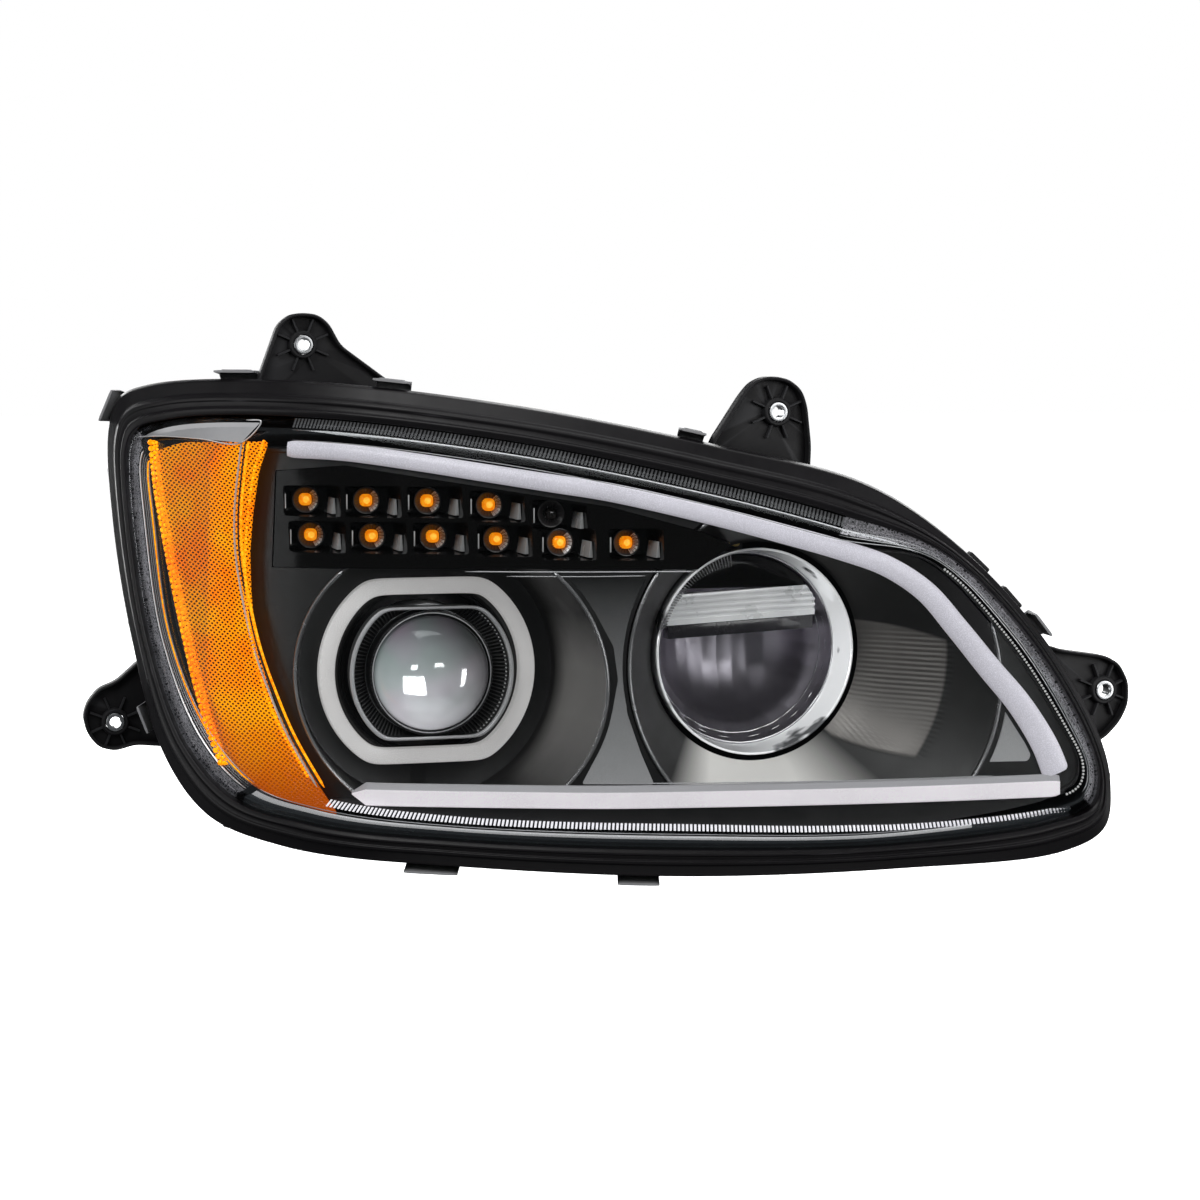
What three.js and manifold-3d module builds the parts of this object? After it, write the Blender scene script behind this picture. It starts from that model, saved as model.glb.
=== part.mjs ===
// A swept truck headlight assembly, right-hand side: a moulded housing with four bolting lugs, a clear lens
// in a stepped seal, fixed trims and lamps behind it, and two tilting beam units with their aiming screws.
// Millimetres. X runs across the vehicle (outboard is -X), -Y is straight ahead, +Z is up.
import * as THREE from "three";
import { mergeVertices } from "three/addons/utils/BufferGeometryUtils.js";
import Module from "manifold-3d";

const wasm = await Module();
wasm.setup();

// ---------------------------------------------------------------- driving dimensions
const SWEEP = THREE.MathUtils.degToRad(16); // the lamp's face is turned this far outboard of the beam axis
const CLEAR = 0.3; // gap between touching pieces
const LOOP_STEPS = 42; // points round the lamp's outline

const SEAL_DEPTH = 30; // how far the seal reaches behind the lens surface
const LENS_WALL = 3;
const BEZEL_OFFSET = 16; // the bezel's face behind the lens surface
const BEZEL_WALL = 2.5;
const BAR_OFFSET = 8.6; // the light bars' faces behind the lens surface
const AMBER_OFFSET = 5.6; // the amber reflector's face behind the lens surface
const HOUSING_WALL = 3;
const FLANGE = { front: 31, back: 40 }; // housing rim behind the lens surface
const RIM_WIDTH = 24; // from the housing's edge to the lens's edge, on average
const BACK_PLANE = { at: 112, slope: -0.08 }; // rear wall in the swept frame
const FAR_FRONT = -200; // beyond everything in front of the lamp, for cutting tools
const FAR_BACK = 300; // beyond everything behind it

// Optical units. Each turns about its own trunnion line, which runs along X.
// post is where the housing's pivot posts stand from the axis, dome the round bulge behind the unit.
const LOW = {
  x: -117, z: -56.5, pivot: 60, arm: 72, post: [68, 77], dome: 60, domeEnd: 195, screwEnd: 170,
};
const HIGH = {
  x: 95.5, z: -42, pivot: 0, arm: 72, post: [71, 80], dome: 56, domeEnd: 116, screwEnd: 94,
};
const UNITS = [LOW, HIGH];
const HIGH_SWEEP = 77; // radius that the tilting high beam needs round its front ring
const TRUNNION = 4; // pin radius
const SCREW = { radius: 3, clearance: 1, knob: 8, seat: 35 };
const LUG = { plate: 4, wall: 10, rim: 2.4, boss: 9.5, bush: 6.5, bore: 4, pad: 15, ribs: 8, ribReach: 19 };
const CONNECTOR = { x: -10, z: -95, halfWidth: 14, halfHeight: 9, wall: 2.5, front: 108, back: 146 };
const VENT = { x: -215, z: -50, stem: 4, cap: 9, from: 188, wallBack: 206, capHeight: 9 };
const FINS = { count: 8, half: 1.2, base: 5 };
const DRIVER = { left: -85, right: 45, bottom: 24, top: 72, back: 138, fins: 9, pitch: 13.5, groove: 7 };

const HALO = { outer: 75.8, outerFlat: 64, inner: 64.5, innerFlat: 53, front: 20, back: 27 };
const SHROUD = { outer: 57, flat: 45.6, front: 4.5, back: 24.2 };
// Each bay is a cone that opens from its throat at the floor towards the lens.
const LOW_BAY = { throat: 90, floor: 28, front: -110, slope: 0.12, hole: 60, wall: 2 };
const HIGH_BAY = { throat: 75, floor: -51, front: -150, slope: 0.93, wall: 2 };
const DOME_MOUTH = 46; // radius of the round service openings

// Outline of the lamp seen square to its swept face, [x, z]: the housing's edge and, point for point, the
// line where the clear lens meets the seal.
const HOUSING_EDGE = [
  [-357, 107], [-348, 130], [-320, 140], [-204, 142], [-53, 125], [80, 99], [180, 73],
  [244, 29], [299, -31], [337, -96], [345, -130], [341, -159], [313, -174], [200, -183],
  [53, -187], [-107, -181], [-217, -173], [-273, -157], [-309, -116], [-335, -38], [-352, 42],
];
const LENS_EDGE = [
  [-332, 90], [-328, 103], [-304, 113], [-202, 116], [-60, 100], [69, 75], [165, 50],
  [229, 26], [282, -28], [321, -90], [332, -120], [329, -141], [305, -153], [197, -166],
  [53, -168], [-102, -163], [-201, -154], [-249, -140], [-284, -103], [-312, -35], [-327, 44],
];
const FACE_CENTRE = [15, -30];

// ---------------------------------------------------------------- solids
function solid(geometry) {
  const bare = geometry.clone();
  bare.deleteAttribute("normal");
  bare.deleteAttribute("uv");
  const merged = mergeVertices(bare, 1e-3);
  const make = (triVerts) =>
    new wasm.Manifold(
      new wasm.Mesh({ numProp: 3, vertProperties: merged.attributes.position.array, triVerts }),
    );
  const faces = new Uint32Array(merged.index.array);
  const made = make(faces);
  if (made.volume() > 0) return made;
  for (let i = 0; i < faces.length; i += 3) {
    [faces[i + 1], faces[i + 2]] = [faces[i + 2], faces[i + 1]];
  }
  return make(faces);
}

function geometryOf(made) {
  const mesh = made.getMesh();
  const geometry = new THREE.BufferGeometry();
  geometry.setAttribute("position", new THREE.BufferAttribute(mesh.vertProperties, 3));
  geometry.setIndex(new THREE.BufferAttribute(mesh.triVerts, 1));
  return geometry;
}

const union = (...solids) => solids.reduce((a, b) => a.add(b));
const cut = (base, ...tools) => tools.reduce((a, b) => a.subtract(b), base);

// A solid skinned over closed loops of equal length, closed at each end by a flat or pointed cap.
function loft(loops, firstTip, lastTip) {
  const n = loops[0].length;
  const points = loops.flat();
  const faces = [];
  for (let i = 0; i + 1 < loops.length; i++) {
    for (let j = 0; j < n; j++) {
      const a = i * n + j;
      const b = i * n + ((j + 1) % n);
      faces.push(a, b, a + n, b, b + n, a + n);
    }
  }
  const middle = (loop) => loop.reduce((s, p) => s.add(p), new THREE.Vector3()).divideScalar(n);
  const first = points.push(firstTip ?? middle(loops[0])) - 1;
  const last = points.push(lastTip ?? middle(loops.at(-1))) - 1;
  const base = (loops.length - 1) * n;
  for (let j = 0; j < n; j++) {
    faces.push(first, (j + 1) % n, j);
    faces.push(last, base + j, base + ((j + 1) % n));
  }
  return solid(indexed(points, faces));
}

// A ring skinned over loops whose last one joins the first again.
function ringLoft(loops) {
  const n = loops[0].length;
  const points = loops.flat();
  const faces = [];
  for (let i = 0; i < loops.length; i++) {
    const next = ((i + 1) % loops.length) * n;
    for (let j = 0; j < n; j++) {
      const k = (j + 1) % n;
      faces.push(i * n + j, i * n + k, next + j, i * n + k, next + k, next + j);
    }
  }
  return solid(indexed(points, faces));
}

function indexed(points, faces) {
  const geometry = new THREE.BufferGeometry().setFromPoints(points);
  geometry.setIndex(faces);
  return geometry;
}

// A turned solid about the beam axis: the profile lists [radius, y] and closes on itself or on the axis.
function turned(profile, segments, x = 0, z = 0) {
  const outline = profile.map(([r, y]) => new THREE.Vector2(r, y));
  if (profile[0][0] > 0) outline.push(outline[0].clone());
  return solid(new THREE.LatheGeometry(outline, segments).translate(x, 0, z));
}

// A flat shape drawn in X and Z, standing from y = front to y = back.
function plate(shape, front, back, x = 0, z = 0) {
  const options = { depth: back - front, bevelEnabled: false, curveSegments: 7 };
  const geometry = new THREE.ExtrudeGeometry(shape, options);
  return solid(geometry.rotateX(Math.PI / 2).translate(x, back, z));
}

function box(x0, x1, y0, y1, z0, z1) {
  const geometry = new THREE.BoxGeometry(x1 - x0, y1 - y0, z1 - z0);
  return solid(geometry.translate((x0 + x1) / 2, (y0 + y1) / 2, (z0 + z1) / 2));
}

function rod(radius, from, to, segments = 12) {
  const axis = to.clone().sub(from);
  const geometry = new THREE.CylinderGeometry(radius, radius, axis.length(), segments);
  geometry.applyQuaternion(
    new THREE.Quaternion().setFromUnitVectors(new THREE.Vector3(0, 1, 0), axis.clone().normalize()),
  );
  return solid(geometry.translate(...from.clone().add(to).multiplyScalar(0.5)));
}

const at = (x, y, z) => new THREE.Vector3(x, y, z);
const polygon = (points) => new THREE.Shape(points.map(([x, z]) => new THREE.Vector2(x, z)));

// A circle with its top and bottom cut flat.
function flattedCircle(radius, flat) {
  const turn = Math.asin(flat / radius);
  const shape = new THREE.Shape();
  shape.absarc(0, 0, radius, -turn, turn, false);
  shape.absarc(0, 0, radius, Math.PI - turn, Math.PI + turn, false);
  shape.closePath();
  return shape;
}

function flattedRing(radius, flat, innerRadius, innerFlat) {
  const shape = flattedCircle(radius, flat);
  shape.holes.push(flattedCircle(innerRadius, innerFlat));
  return shape;
}

// Turn a solid made in the swept frame into the vehicle frame.
const swept = (made) => made.rotate([0, 0, -THREE.MathUtils.radToDeg(SWEEP)]);

// Move each corner of an outline inwards by a distance, along the bisector of its two sides.
function inset(outline, by) {
  const corners = outline.map(([x, z]) => new THREE.Vector2(x, z));
  const turn = Math.sign(THREE.ShapeUtils.area(corners));
  return corners.map((corner, i) => {
    const before = corner.clone().sub(corners.at(i - 1)).normalize();
    const after = corners[(i + 1) % corners.length].clone().sub(corner).normalize();
    const normal = new THREE.Vector2(-before.y - after.y, before.x + after.x).normalize();
    const spread = Math.max(0.4, normal.dot(new THREE.Vector2(-after.y, after.x)));
    const moved = corner.clone().addScaledVector(normal, (turn * by) / spread);
    return [moved.x, moved.y];
  });
}

function sweptPoint(x, y, z) {
  return at(x, y, z).applyAxisAngle(at(0, 0, 1), -SWEEP);
}

// ---------------------------------------------------------------- the lamp's face
// Depth of the outer lens surface in the swept frame: a shallow crown, a tighter wrap round the outboard
// corner, and a lean back towards the top.
function lensDepth(x, z) {
  const crown = 0.0003 * (x - 50) ** 2;
  const wrap = 0.0018 * Math.max(0, -130 - x) ** 2;
  const lean = 0.12 * z + 0.0002 * z * z;
  return -80 + crown + wrap + lean;
}

const closedCurve = (points) =>
  new THREE.CatmullRomCurve3(points.map(([x, z]) => at(x, 0, z)), true, "centripetal");
const housingEdge = closedCurve(HOUSING_EDGE);
const lensEdge = closedCurve(LENS_EDGE);

// Points round the rim: across = 0 on the housing's edge, 1 on the lens's edge, and more further in.
function rim(across) {
  return Array.from({ length: LOOP_STEPS }, (_, i) => {
    const t = i / LOOP_STEPS;
    return housingEdge.getPoint(t).lerp(lensEdge.getPoint(t), across);
  });
}

const behindLens = (offset) => (x, z) => lensDepth(x, z) + offset;
const backPlane = (inset) => (x) => BACK_PLANE.at + BACK_PLANE.slope * x - inset;
const between = (a, b, share) => (x, z) => a(x, z) * (1 - share) + b(x, z) * share;

// One loop round the rim, drawn in towards the face's centre by `fill`, at the given depth.
function loop(across, depth, fill = 1) {
  return rim(across).map((p) => {
    const x = FACE_CENTRE[0] + (p.x - FACE_CENTRE[0]) * fill;
    const z = FACE_CENTRE[1] + (p.z - FACE_CENTRE[1]) * fill;
    return at(x, depth(x, z), z);
  });
}

const tip = (depth) => at(FACE_CENTRE[0], depth(...FACE_CENTRE), FACE_CENTRE[1]);
const FILLS = [0.3, 0.52, 0.7, 0.85];

// A sheet or block filling the outline inside `across`, between two depths.
function slab(front, back, across) {
  const inwards = [...FILLS, 1];
  const loops = [
    ...inwards.map((fill) => loop(across, front, fill)),
    ...inwards.toReversed().map((fill) => loop(across, back, fill)),
  ];
  return loft(loops, tip(front), tip(back));
}

// A patch of the face bounded by a hand-drawn outline, between two depths behind the lens.
function facePatch(outline, front, back, across) {
  const column = plate(polygon(outline), FAR_FRONT, FAR_BACK);
  return slab(behindLens(front), behindLens(back), across).intersect(column);
}

// ---------------------------------------------------------------- materials and nodes
const group = new THREE.Group();
group.name = "headlight_assembly";

const finish = (color, roughness, metalness = 0) => ({ color, roughness, metalness });
const FINISH = {
  housing: finish(0x151517, 0.6),
  seal: finish(0x2a282a, 0.75),
  lens: { ...finish(0xf4f6f7, 0.05), transparent: true, opacity: 0.25 },
  bezel: finish(0x1e1e20, 0.45),
  satin: finish(0x3c3c3f, 0.35, 0.4),
  lightGuide: finish(0xd9d3dc, 0.35),
  halo: finish(0xbebabc, 0.4),
  amber: { ...finish(0xf58a06, 0.2), transparent: true, opacity: 0.85 },
  led: finish(0xff9a10, 0.3),
  darkLed: finish(0x1a1614, 0.3),
  chrome: finish(0xe8e8ea, 0.08, 1),
  aluminium: finish(0xb9bcc0, 0.35, 1),
  steel: finish(0xa4a6a8, 0.3, 1),
  glass: { ...finish(0xc8d4d8, 0.03), transparent: true, opacity: 0.5 },
  rubber: finish(0x101011, 0.85),
  blackPlastic: finish(0x121214, 0.5),
  greyPlastic: finish(0x77787a, 0.55),
  board: finish(0x16351f, 0.6),
  brass: finish(0xb89b52, 0.35, 1),
};

function add(name, made, look) {
  const mesh = new THREE.Mesh(geometryOf(made), new THREE.MeshStandardMaterial(look));
  mesh.name = name;
  group.add(mesh);
}

// ---------------------------------------------------------------- housing
// The tub's own volume, or with an inset the hollow inside its wall, from the rim to the rear plane.
function tub(inset, across, front) {
  const back = backPlane(inset);
  const shoulder = behindLens(FLANGE.back + 4);
  const thinner = inset / RIM_WIDTH;
  return loft([
    loop(across, behindLens(front)),
    loop(across, behindLens(FLANGE.back - inset)),
    loop(0.14 + thinner, shoulder),
    loop(0.3 + thinner, between(shoulder, back, 0.5)),
    loop(0.55 + thinner, between(shoulder, back, 0.9)),
    loop(1.0 + thinner, back),
  ]);
}

const disc = (radius, from, to, x, z, segments = 28) =>
  turned([[0, from], [radius, from], [radius, to], [0, to]], segments, x, z);

// A lug's outline and bolt hole in X and Z, and the depth of its plate.
const LUGS = {
  upper_outboard: {
    hole: [-192, 167], y: 80,
    outline: [
      [-228, 120], [-224, 143], [-210, 181], [-201, 188], [-192, 189], [-182, 188], [-174, 182],
      [-166, 167], [-129, 140], [-126, 120],
    ],
  },
  upper_inboard: {
    hole: [111, 121], y: -47,
    outline: [
      [60, 88], [64, 102], [85, 133], [92, 141], [101, 145], [110, 145], [119, 143], [128, 136],
      [132, 125], [135, 98], [134, 74],
    ],
  },
  inboard: {
    hole: [327, -69], y: -109,
    outline: [
      [282, -36], [294, -40], [327, -45], [338, -51], [345, -64], [345, -79], [339, -91],
      [328, -102], [304, -112],
    ],
  },
  outboard: {
    hole: [-317, -104], y: 172,
    outline: [
      [-298, -58], [-316, -74], [-329, -79], [-337, -89], [-340, -99], [-337, -112], [-329, -122],
      [-317, -125], [-303, -121], [-274, -124], [-270, -70],
    ],
  },
};

// A flat plate with a raised edge, a boss for the bushing, ribs between them and a bolting pad behind.
function lug({ hole: [x, z], y, outline }) {
  const back = y + LUG.plate;
  const front = back - LUG.wall;
  const base = plate(polygon(outline), y, back);
  const inner = plate(polygon(inset(outline, LUG.rim)), front - 1, back + 1);
  const edge = cut(plate(polygon(outline), front, back - 1), inner);
  const boss = disc(LUG.boss, y - 5, y + 2, x, z, 14);
  const pad = disc(LUG.pad, y + 1, back + 2, x, z, 16);
  const ribs = Array.from({ length: LUG.ribs }, (_, i) => {
    const rib = box(LUG.boss - 1, LUG.ribReach, y - 3.5, y + 1, -0.9, 0.9);
    return rib.rotate([0, ((i + 0.5) * 360) / LUG.ribs, 0]).translate([x, 0, z]);
  });
  return union(base, edge, boss, pad, ...ribs);
}

// A pivot post beside a beam unit, standing forward from the rear wall to its trunnion pin.
function post(unit, side) {
  const half = 9;
  const [left, right] = unit.post.map((reach) => unit.x + side * reach).sort((a, b) => a - b);
  return box(left, right, unit.pivot - half, FAR_BACK, unit.z - half, unit.z + half);
}

// Latch ramps moulded on the rim: [place round the outline, half width].
const RAMPS = [
  [7.2, 9], [7.6, 9], [10.2, 12], [13.2, 16], [13.7, 9], [16.6, 9], [19.0, 9], [20.4, 9], [20.75, 6],
];

// A block standing on the housing's edge, placed by its turn round the outline.
function rimBlock(place, halfWidth, proud, front, back) {
  const t = place / HOUSING_EDGE.length;
  const p = housingEdge.getPoint(t);
  const along = housingEdge.getTangent(t);
  const depth = lensDepth(p.x, p.z);
  const block = box(-halfWidth, halfWidth, depth + front, depth + back, proud[0], proud[1]);
  const angle = THREE.MathUtils.radToDeg(Math.atan2(along.z, along.x));
  return block.rotate([0, -angle, 0]).translate([p.x, 0, p.z]);
}

function housing() {
  const body = swept(tub(0, 0.02, FLANGE.front));
  const ramps = RAMPS.map(([place, half]) => swept(rimBlock(place, half, [-3, 3.5], 36, 48)));
  const outside = union(
    body,
    ...ramps,
    ...Object.values(LUGS).map(lug),
    ...UNITS.map((u) => disc(u.dome, 30, u.domeEnd, u.x, u.z)),
  );
  const hollow = union(
    swept(tub(HOUSING_WALL, 0.9, -FLANGE.back)),
    ...UNITS.map((u) => disc(u.dome - HOUSING_WALL, 20, u.domeEnd - HOUSING_WALL, u.x, u.z)),
  );
  const stands = UNITS.flatMap((u) => [post(u, -1).intersect(body), post(u, 1).intersect(body)]);
  const screwSeats = UNITS.map((u) =>
    disc(SCREW.knob, u.screwEnd - SCREW.seat, u.screwEnd, u.x, u.z + u.arm, 14),
  );
  const shell = union(cut(outside, hollow), ...stands, ...screwSeats);
  const trunnionBores = UNITS.map((u) => {
    const reach = u.post[1] + 5;
    return rod(TRUNNION + 0.35, at(u.x - reach, u.pivot, u.z), at(u.x + reach, u.pivot, u.z));
  });
  const c = CONNECTOR;
  const socketHole = box(c.x - c.halfWidth - CLEAR, c.x + c.halfWidth + CLEAR, c.front - 28, c.back + 24,
    c.z - c.halfHeight - CLEAR, c.z + c.halfHeight + CLEAR);
  const [sealFront, sealBack] = [-SEAL_DEPTH, SEAL_DEPTH + 0.4];
  const sealRoom = ringLoft(
    sectionLoops([[1.2, sealFront], [-0.2, sealFront], [-0.2, sealBack], [1.2, sealBack]]),
  );
  return cut(
    shell,
    swept(sealRoom),
    ...trunnionBores,
    ...UNITS.map((u) => disc(DOME_MOUTH, u.domeEnd - 10, u.domeEnd + 1, u.x, u.z)),
    ...UNITS.map((u) => disc(SCREW.radius + SCREW.clearance, 0, FAR_BACK, u.x, u.z + u.arm, 12)),
    ...Object.values(LUGS).map(({ hole, y }) => disc(LUG.bush + CLEAR, y - 20, y + 20, ...hole, 14)),
    socketHole,
    disc(VENT.stem + CLEAR, VENT.from - 38, FAR_BACK, VENT.x, VENT.z, 12),
  );
}

function bushing({ hole, y }) {
  const [front, back] = [y - 5.5, y + LUG.plate + 1.7];
  return turned([[LUG.bore, front], [LUG.bush, front], [LUG.bush, back], [LUG.bore, back]], 14, ...hole);
}

// ---------------------------------------------------------------- lens, seal and clips
// Cross-sections of the rim as [across, offset behind the lens surface].
const LENS_OUTSIDE = [[2, 0], [1.6, 0.6], [1.3, 3], [1.1, 7], [1.02, 13], [1.02, 30]];
const LENS_INSIDE = [[1.16, 30], [1.17, 14], [1.26, 9.5], [1.42, 6], [1.68, 3.6], [2.05, LENS_WALL]];
const SEAL_SECTION = [
  [0.985, 9], [0.8, 7.5], [0.76, 10], [0.45, 10.5], [0.41, 13.5], [0.06, 15], [0, 19], [0, SEAL_DEPTH],
  [0.3, SEAL_DEPTH], [0.985, 24],
];
const sectionLoops = (section) => section.map(([across, offset]) => loop(across, behindLens(offset)));

function outerLens() {
  const [front, back] = [behindLens(0), behindLens(LENS_WALL)];
  return loft(
    [
      ...FILLS.map((fill) => loop(2, front, fill)),
      ...sectionLoops(LENS_OUTSIDE),
      ...sectionLoops(LENS_INSIDE),
      ...FILLS.toReversed().map((fill) => loop(2.05, back, fill)),
    ],
    tip(front),
    tip(back),
  );
}

// A spring clip over the rim: a leg outside the seal and a hook behind the housing's flange.
function lensClip(place, halfWidth) {
  const leg = rimBlock(place, halfWidth, [4.2, 6], 16, 50);
  const hook = rimBlock(place, halfWidth, [-0.5, 6], 48.2, 50);
  return union(leg, hook);
}

// [place round the outline, half width] of each clip.
const CLIPS = [
  [0.6, 12], [2.62, 14], [3.42, 12], [4.85, 9], [7.9, 9], [14.17, 14], [15.05, 18], [18.3, 10],
];

// ---------------------------------------------------------------- fixed trims behind the lens
const PANEL = [
  [-221, 81], [-172, 85], [-125, 78], [-78, 71], [-32, 64], [7, 58], [67, 42], [88, 33], [67, 17],
  [-67, 17], [-223, 16],
];
const PANEL_OFFSET = { front: 17, back: 58 };
const AMBER = [
  [-319, 99], [-313, 62], [-303, 18], [-295.5, -13], [-283, -60], [-272, -94], [-262, -118], [-246, -133],
  [-210, -143], [-175, -147], [-193, -122], [-208, -98], [-220, -75], [-229, -50], [-235, -20], [-237, -1],
  [-238, 26], [-236, 52], [-232, 80], [-225, 101],
];
const UPPER_BAR = [
  [-212, 96], [-171, 94], [-124, 88], [-78, 81], [-32, 74], [7, 68], [70, 54], [124, 40], [163, 29],
  [191, 19], [217, 2], [238, -22], [260, -49], [281, -74], [298, -101], [303, -111],
];
const LOWER_BAR = [[-166, -133], [-70, -133], [7, -133], [70, -132], [200, -130], [308, -128]];

// A bar swept along a line on the face, with a section given as [side, depth].
function faceBar(line, section, offset, scaleAt, steps = 24) {
  const curve = new THREE.CatmullRomCurve3(line.map(([x, z]) => at(x, 0, z)), false, "centripetal");
  const loops = Array.from({ length: steps + 1 }, (_, i) => {
    const t = i / steps;
    const p = curve.getPoint(t);
    const along = curve.getTangent(t);
    const side = at(-along.z, 0, along.x);
    const depth = lensDepth(p.x, p.z) + offset;
    return section.map(([across, deep]) => {
      const q = p.clone().addScaledVector(side, across * scaleAt(t));
      return q.setY(depth + deep);
    });
  });
  return loft(loops);
}

const HALF_ROUND = [
  [-6, 6], [-6, 4], [-4.6, 1.4], [-2.3, 0.2], [0, 0], [2.3, 0.2], [4.6, 1.4], [6, 4], [6, 6],
];
const BEVELLED = [[-7.5, 6], [-7.5, 1], [-6.5, 0], [3.5, 0], [7.5, 3], [7.5, 6]];

const mouthRadius = (bay) => bay.throat + bay.slope * (bay.floor - bay.front);

// The bay's own volume with a margin round it, which the bezel keeps clear of.
function bayBlock(unit, bay, margin) {
  const back = bay.floor + 3;
  return turned(
    [[0, bay.front], [mouthRadius(bay) + margin, bay.front], [bay.throat + margin, back], [0, back]],
    36, unit.x, unit.z,
  );
}

const behindBezel = () => slab(behindLens(BEZEL_OFFSET + 0.2), behindLens(220), 1.98);
const panelBlock = (margin) => plate(polygon(inset(PANEL, -margin)), -140, 140);

// Trim a bay to the face behind the bezel and clear of the turn panel.
const fitted = (shell) => cut(shell.intersect(swept(behindBezel())), swept(panelBlock(CLEAR)));

function lowBay() {
  const { throat, floor, front, hole, wall } = LOW_BAY;
  const mouth = mouthRadius(LOW_BAY);
  const profile = [
    [hole, floor], [throat, floor], [mouth, front], [mouth + wall, front], [throat + wall, floor + wall],
    [hole, floor + wall],
  ];
  return fitted(turned(profile, 36, LOW.x, LOW.z));
}

function highBay() {
  const { throat, floor, front, wall } = HIGH_BAY;
  const mouth = mouthRadius(HIGH_BAY);
  const profile = [[throat, floor], [mouth, front], [mouth + wall, front], [throat + wall, floor]];
  return fitted(turned(profile, 36, HIGH.x, HIGH.z));
}

function mainBezel() {
  const face = slab(behindLens(BEZEL_OFFSET), behindLens(BEZEL_OFFSET + BEZEL_WALL), 1.78);
  const wall = ringLoft(sectionLoops([[1.75, BEZEL_OFFSET], [1.75, 44], [1.9, 44], [1.9, BEZEL_OFFSET]]));
  const opened = cut(
    swept(face),
    bayBlock(LOW, LOW_BAY, LOW_BAY.wall + CLEAR),
    bayBlock(HIGH, HIGH_BAY, HIGH_BAY.wall + CLEAR),
    swept(panelBlock(CLEAR)),
  );
  return opened.add(swept(wall));
}

function haloRing() {
  const shape = flattedRing(HALO.outer, HALO.outerFlat, HALO.inner, HALO.innerFlat);
  return plate(shape, HALO.front, HALO.back, LOW.x, LOW.z);
}

// ---------------------------------------------------------------- turn signal
const LED_DEPTH = 42; // the emitters' seats behind the lens surface
const POCKET = { halfWidth: 18, halfHeight: 11 };
const LEDS = [
  [-203, 61], [-160, 61], [-118, 61], [-76, 58.5], [-34, 52.6],
  [-199, 37], [-156, 37], [-114, 37], [-71, 35.5], [-28, 33.4], [17, 33.4],
];
const DARK_LED = 5; // the fifth place holds a dark cup without an amber emitter

function ledSeat([x, z]) {
  return sweptPoint(x, lensDepth(x, z) + LED_DEPTH, z);
}

function turnPanel() {
  const blank = swept(facePatch(PANEL, PANEL_OFFSET.front, PANEL_OFFSET.back, 2));
  const window = swept(plate(polygon(inset(PANEL, 1.4)), FAR_FRONT, FAR_BACK));
  const pockets = LEDS.map((led) => {
    const seat = ledSeat(led);
    const [w, h] = [POCKET.halfWidth, POCKET.halfHeight];
    return box(seat.x - w, seat.x + w, FAR_FRONT, seat.y + 2, seat.z - h, seat.z + h).intersect(window);
  });
  const ringSweep = disc(HIGH_SWEEP, -80, 60, HIGH.x, HIGH.z);
  return cut(blank, ringSweep, ...pockets);
}

function turnLed(led) {
  const seat = ledSeat(led);
  const section = [
    [0, -3.5], [4, -3.5], [4.6, -0.5], [8.6, -3.5], [9.4, -3.5], [9.4, 1.6], [0, 1.6],
  ];
  return turned(section.map(([r, y]) => [r, seat.y + y]), 10, seat.x, seat.z);
}

// ---------------------------------------------------------------- low beam unit
function projectorLens() {
  const dome = [
    [0, -14], [10, -13.2], [20, -10.6], [28, -6.5], [34, -1.5], [38.5, 4.5], [40, 10], [40, 13], [0, 13],
  ];
  return turned(dome, 28, LOW.x, LOW.z);
}

const lensRetainer = () =>
  turned([[40.4, 8], [43, 8], [43, 24], [37, 24], [37, 13.4], [40.4, 13.4]], 28, LOW.x, LOW.z);

function lowShroud() {
  const { outer, flat, front, back } = SHROUD;
  const wallFront = front + 2.5;
  const wall = plate(flattedRing(outer - 1.6, flat - 0.3, outer - 3.6, flat - 2.1), wallFront, back);
  const funnel = turned([[0, wallFront], [55, wallFront], [43.4, 22], [43.4, 25], [0, 25]], 28);
  const floor = cut(plate(flattedCircle(outer - 3, flat - 1), wallFront + 2, 24), funnel);
  return union(wall, floor).translate([LOW.x, 0, LOW.z]);
}

function lowTrimRing() {
  const { outer, flat, front } = SHROUD;
  return plate(flattedRing(outer, flat, outer - 3.4, flat - 2.1), front, front + 2.2, LOW.x, LOW.z);
}

const projectorHousing = () =>
  turned(
    [[38, 24.6], [46.5, 24.6], [46.5, 66], [52, 84], [52, 108], [49, 108], [49, 86], [43.5, 67], [43.5, 27.6],
      [38, 27.6]],
    24, LOW.x, LOW.z,
  );

// The shield's stepped upper edge makes the low beam's cut-off.
function cutoffShield() {
  const step = polygon([[-43, 0], [-4, 0], [4, 3], [43, 3], [43, -43], [-43, -43]]);
  return plate(step, 57, 59, LOW.x, LOW.z).intersect(disc(43, 50, 64, LOW.x, LOW.z, 32));
}

const lowReflector = () =>
  turned([[46, 87], [48.4, 87], [48.4, 89], [30, 101], [12, 105.5], [12, 103.5], [29, 99]], 24, LOW.x, LOW.z);

// A round base with parallel fins inside the same circle.
function heatSink(unit, radius, front, back) {
  const circle = disc(radius, front, back, unit.x, unit.z, 24);
  const { count, half, base } = FINS;
  const pitch = (2 * radius) / (count + 0.6);
  const fins = Array.from({ length: count }, (_, i) => {
    const x = unit.x + (i - (count - 1) / 2) * pitch;
    const fin = box(x - half, x + half, front + base - 1, back, unit.z - radius, unit.z + radius);
    return fin.intersect(circle);
  });
  return union(disc(radius, front, front + base, unit.x, unit.z, 24), ...fins);
}

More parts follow.
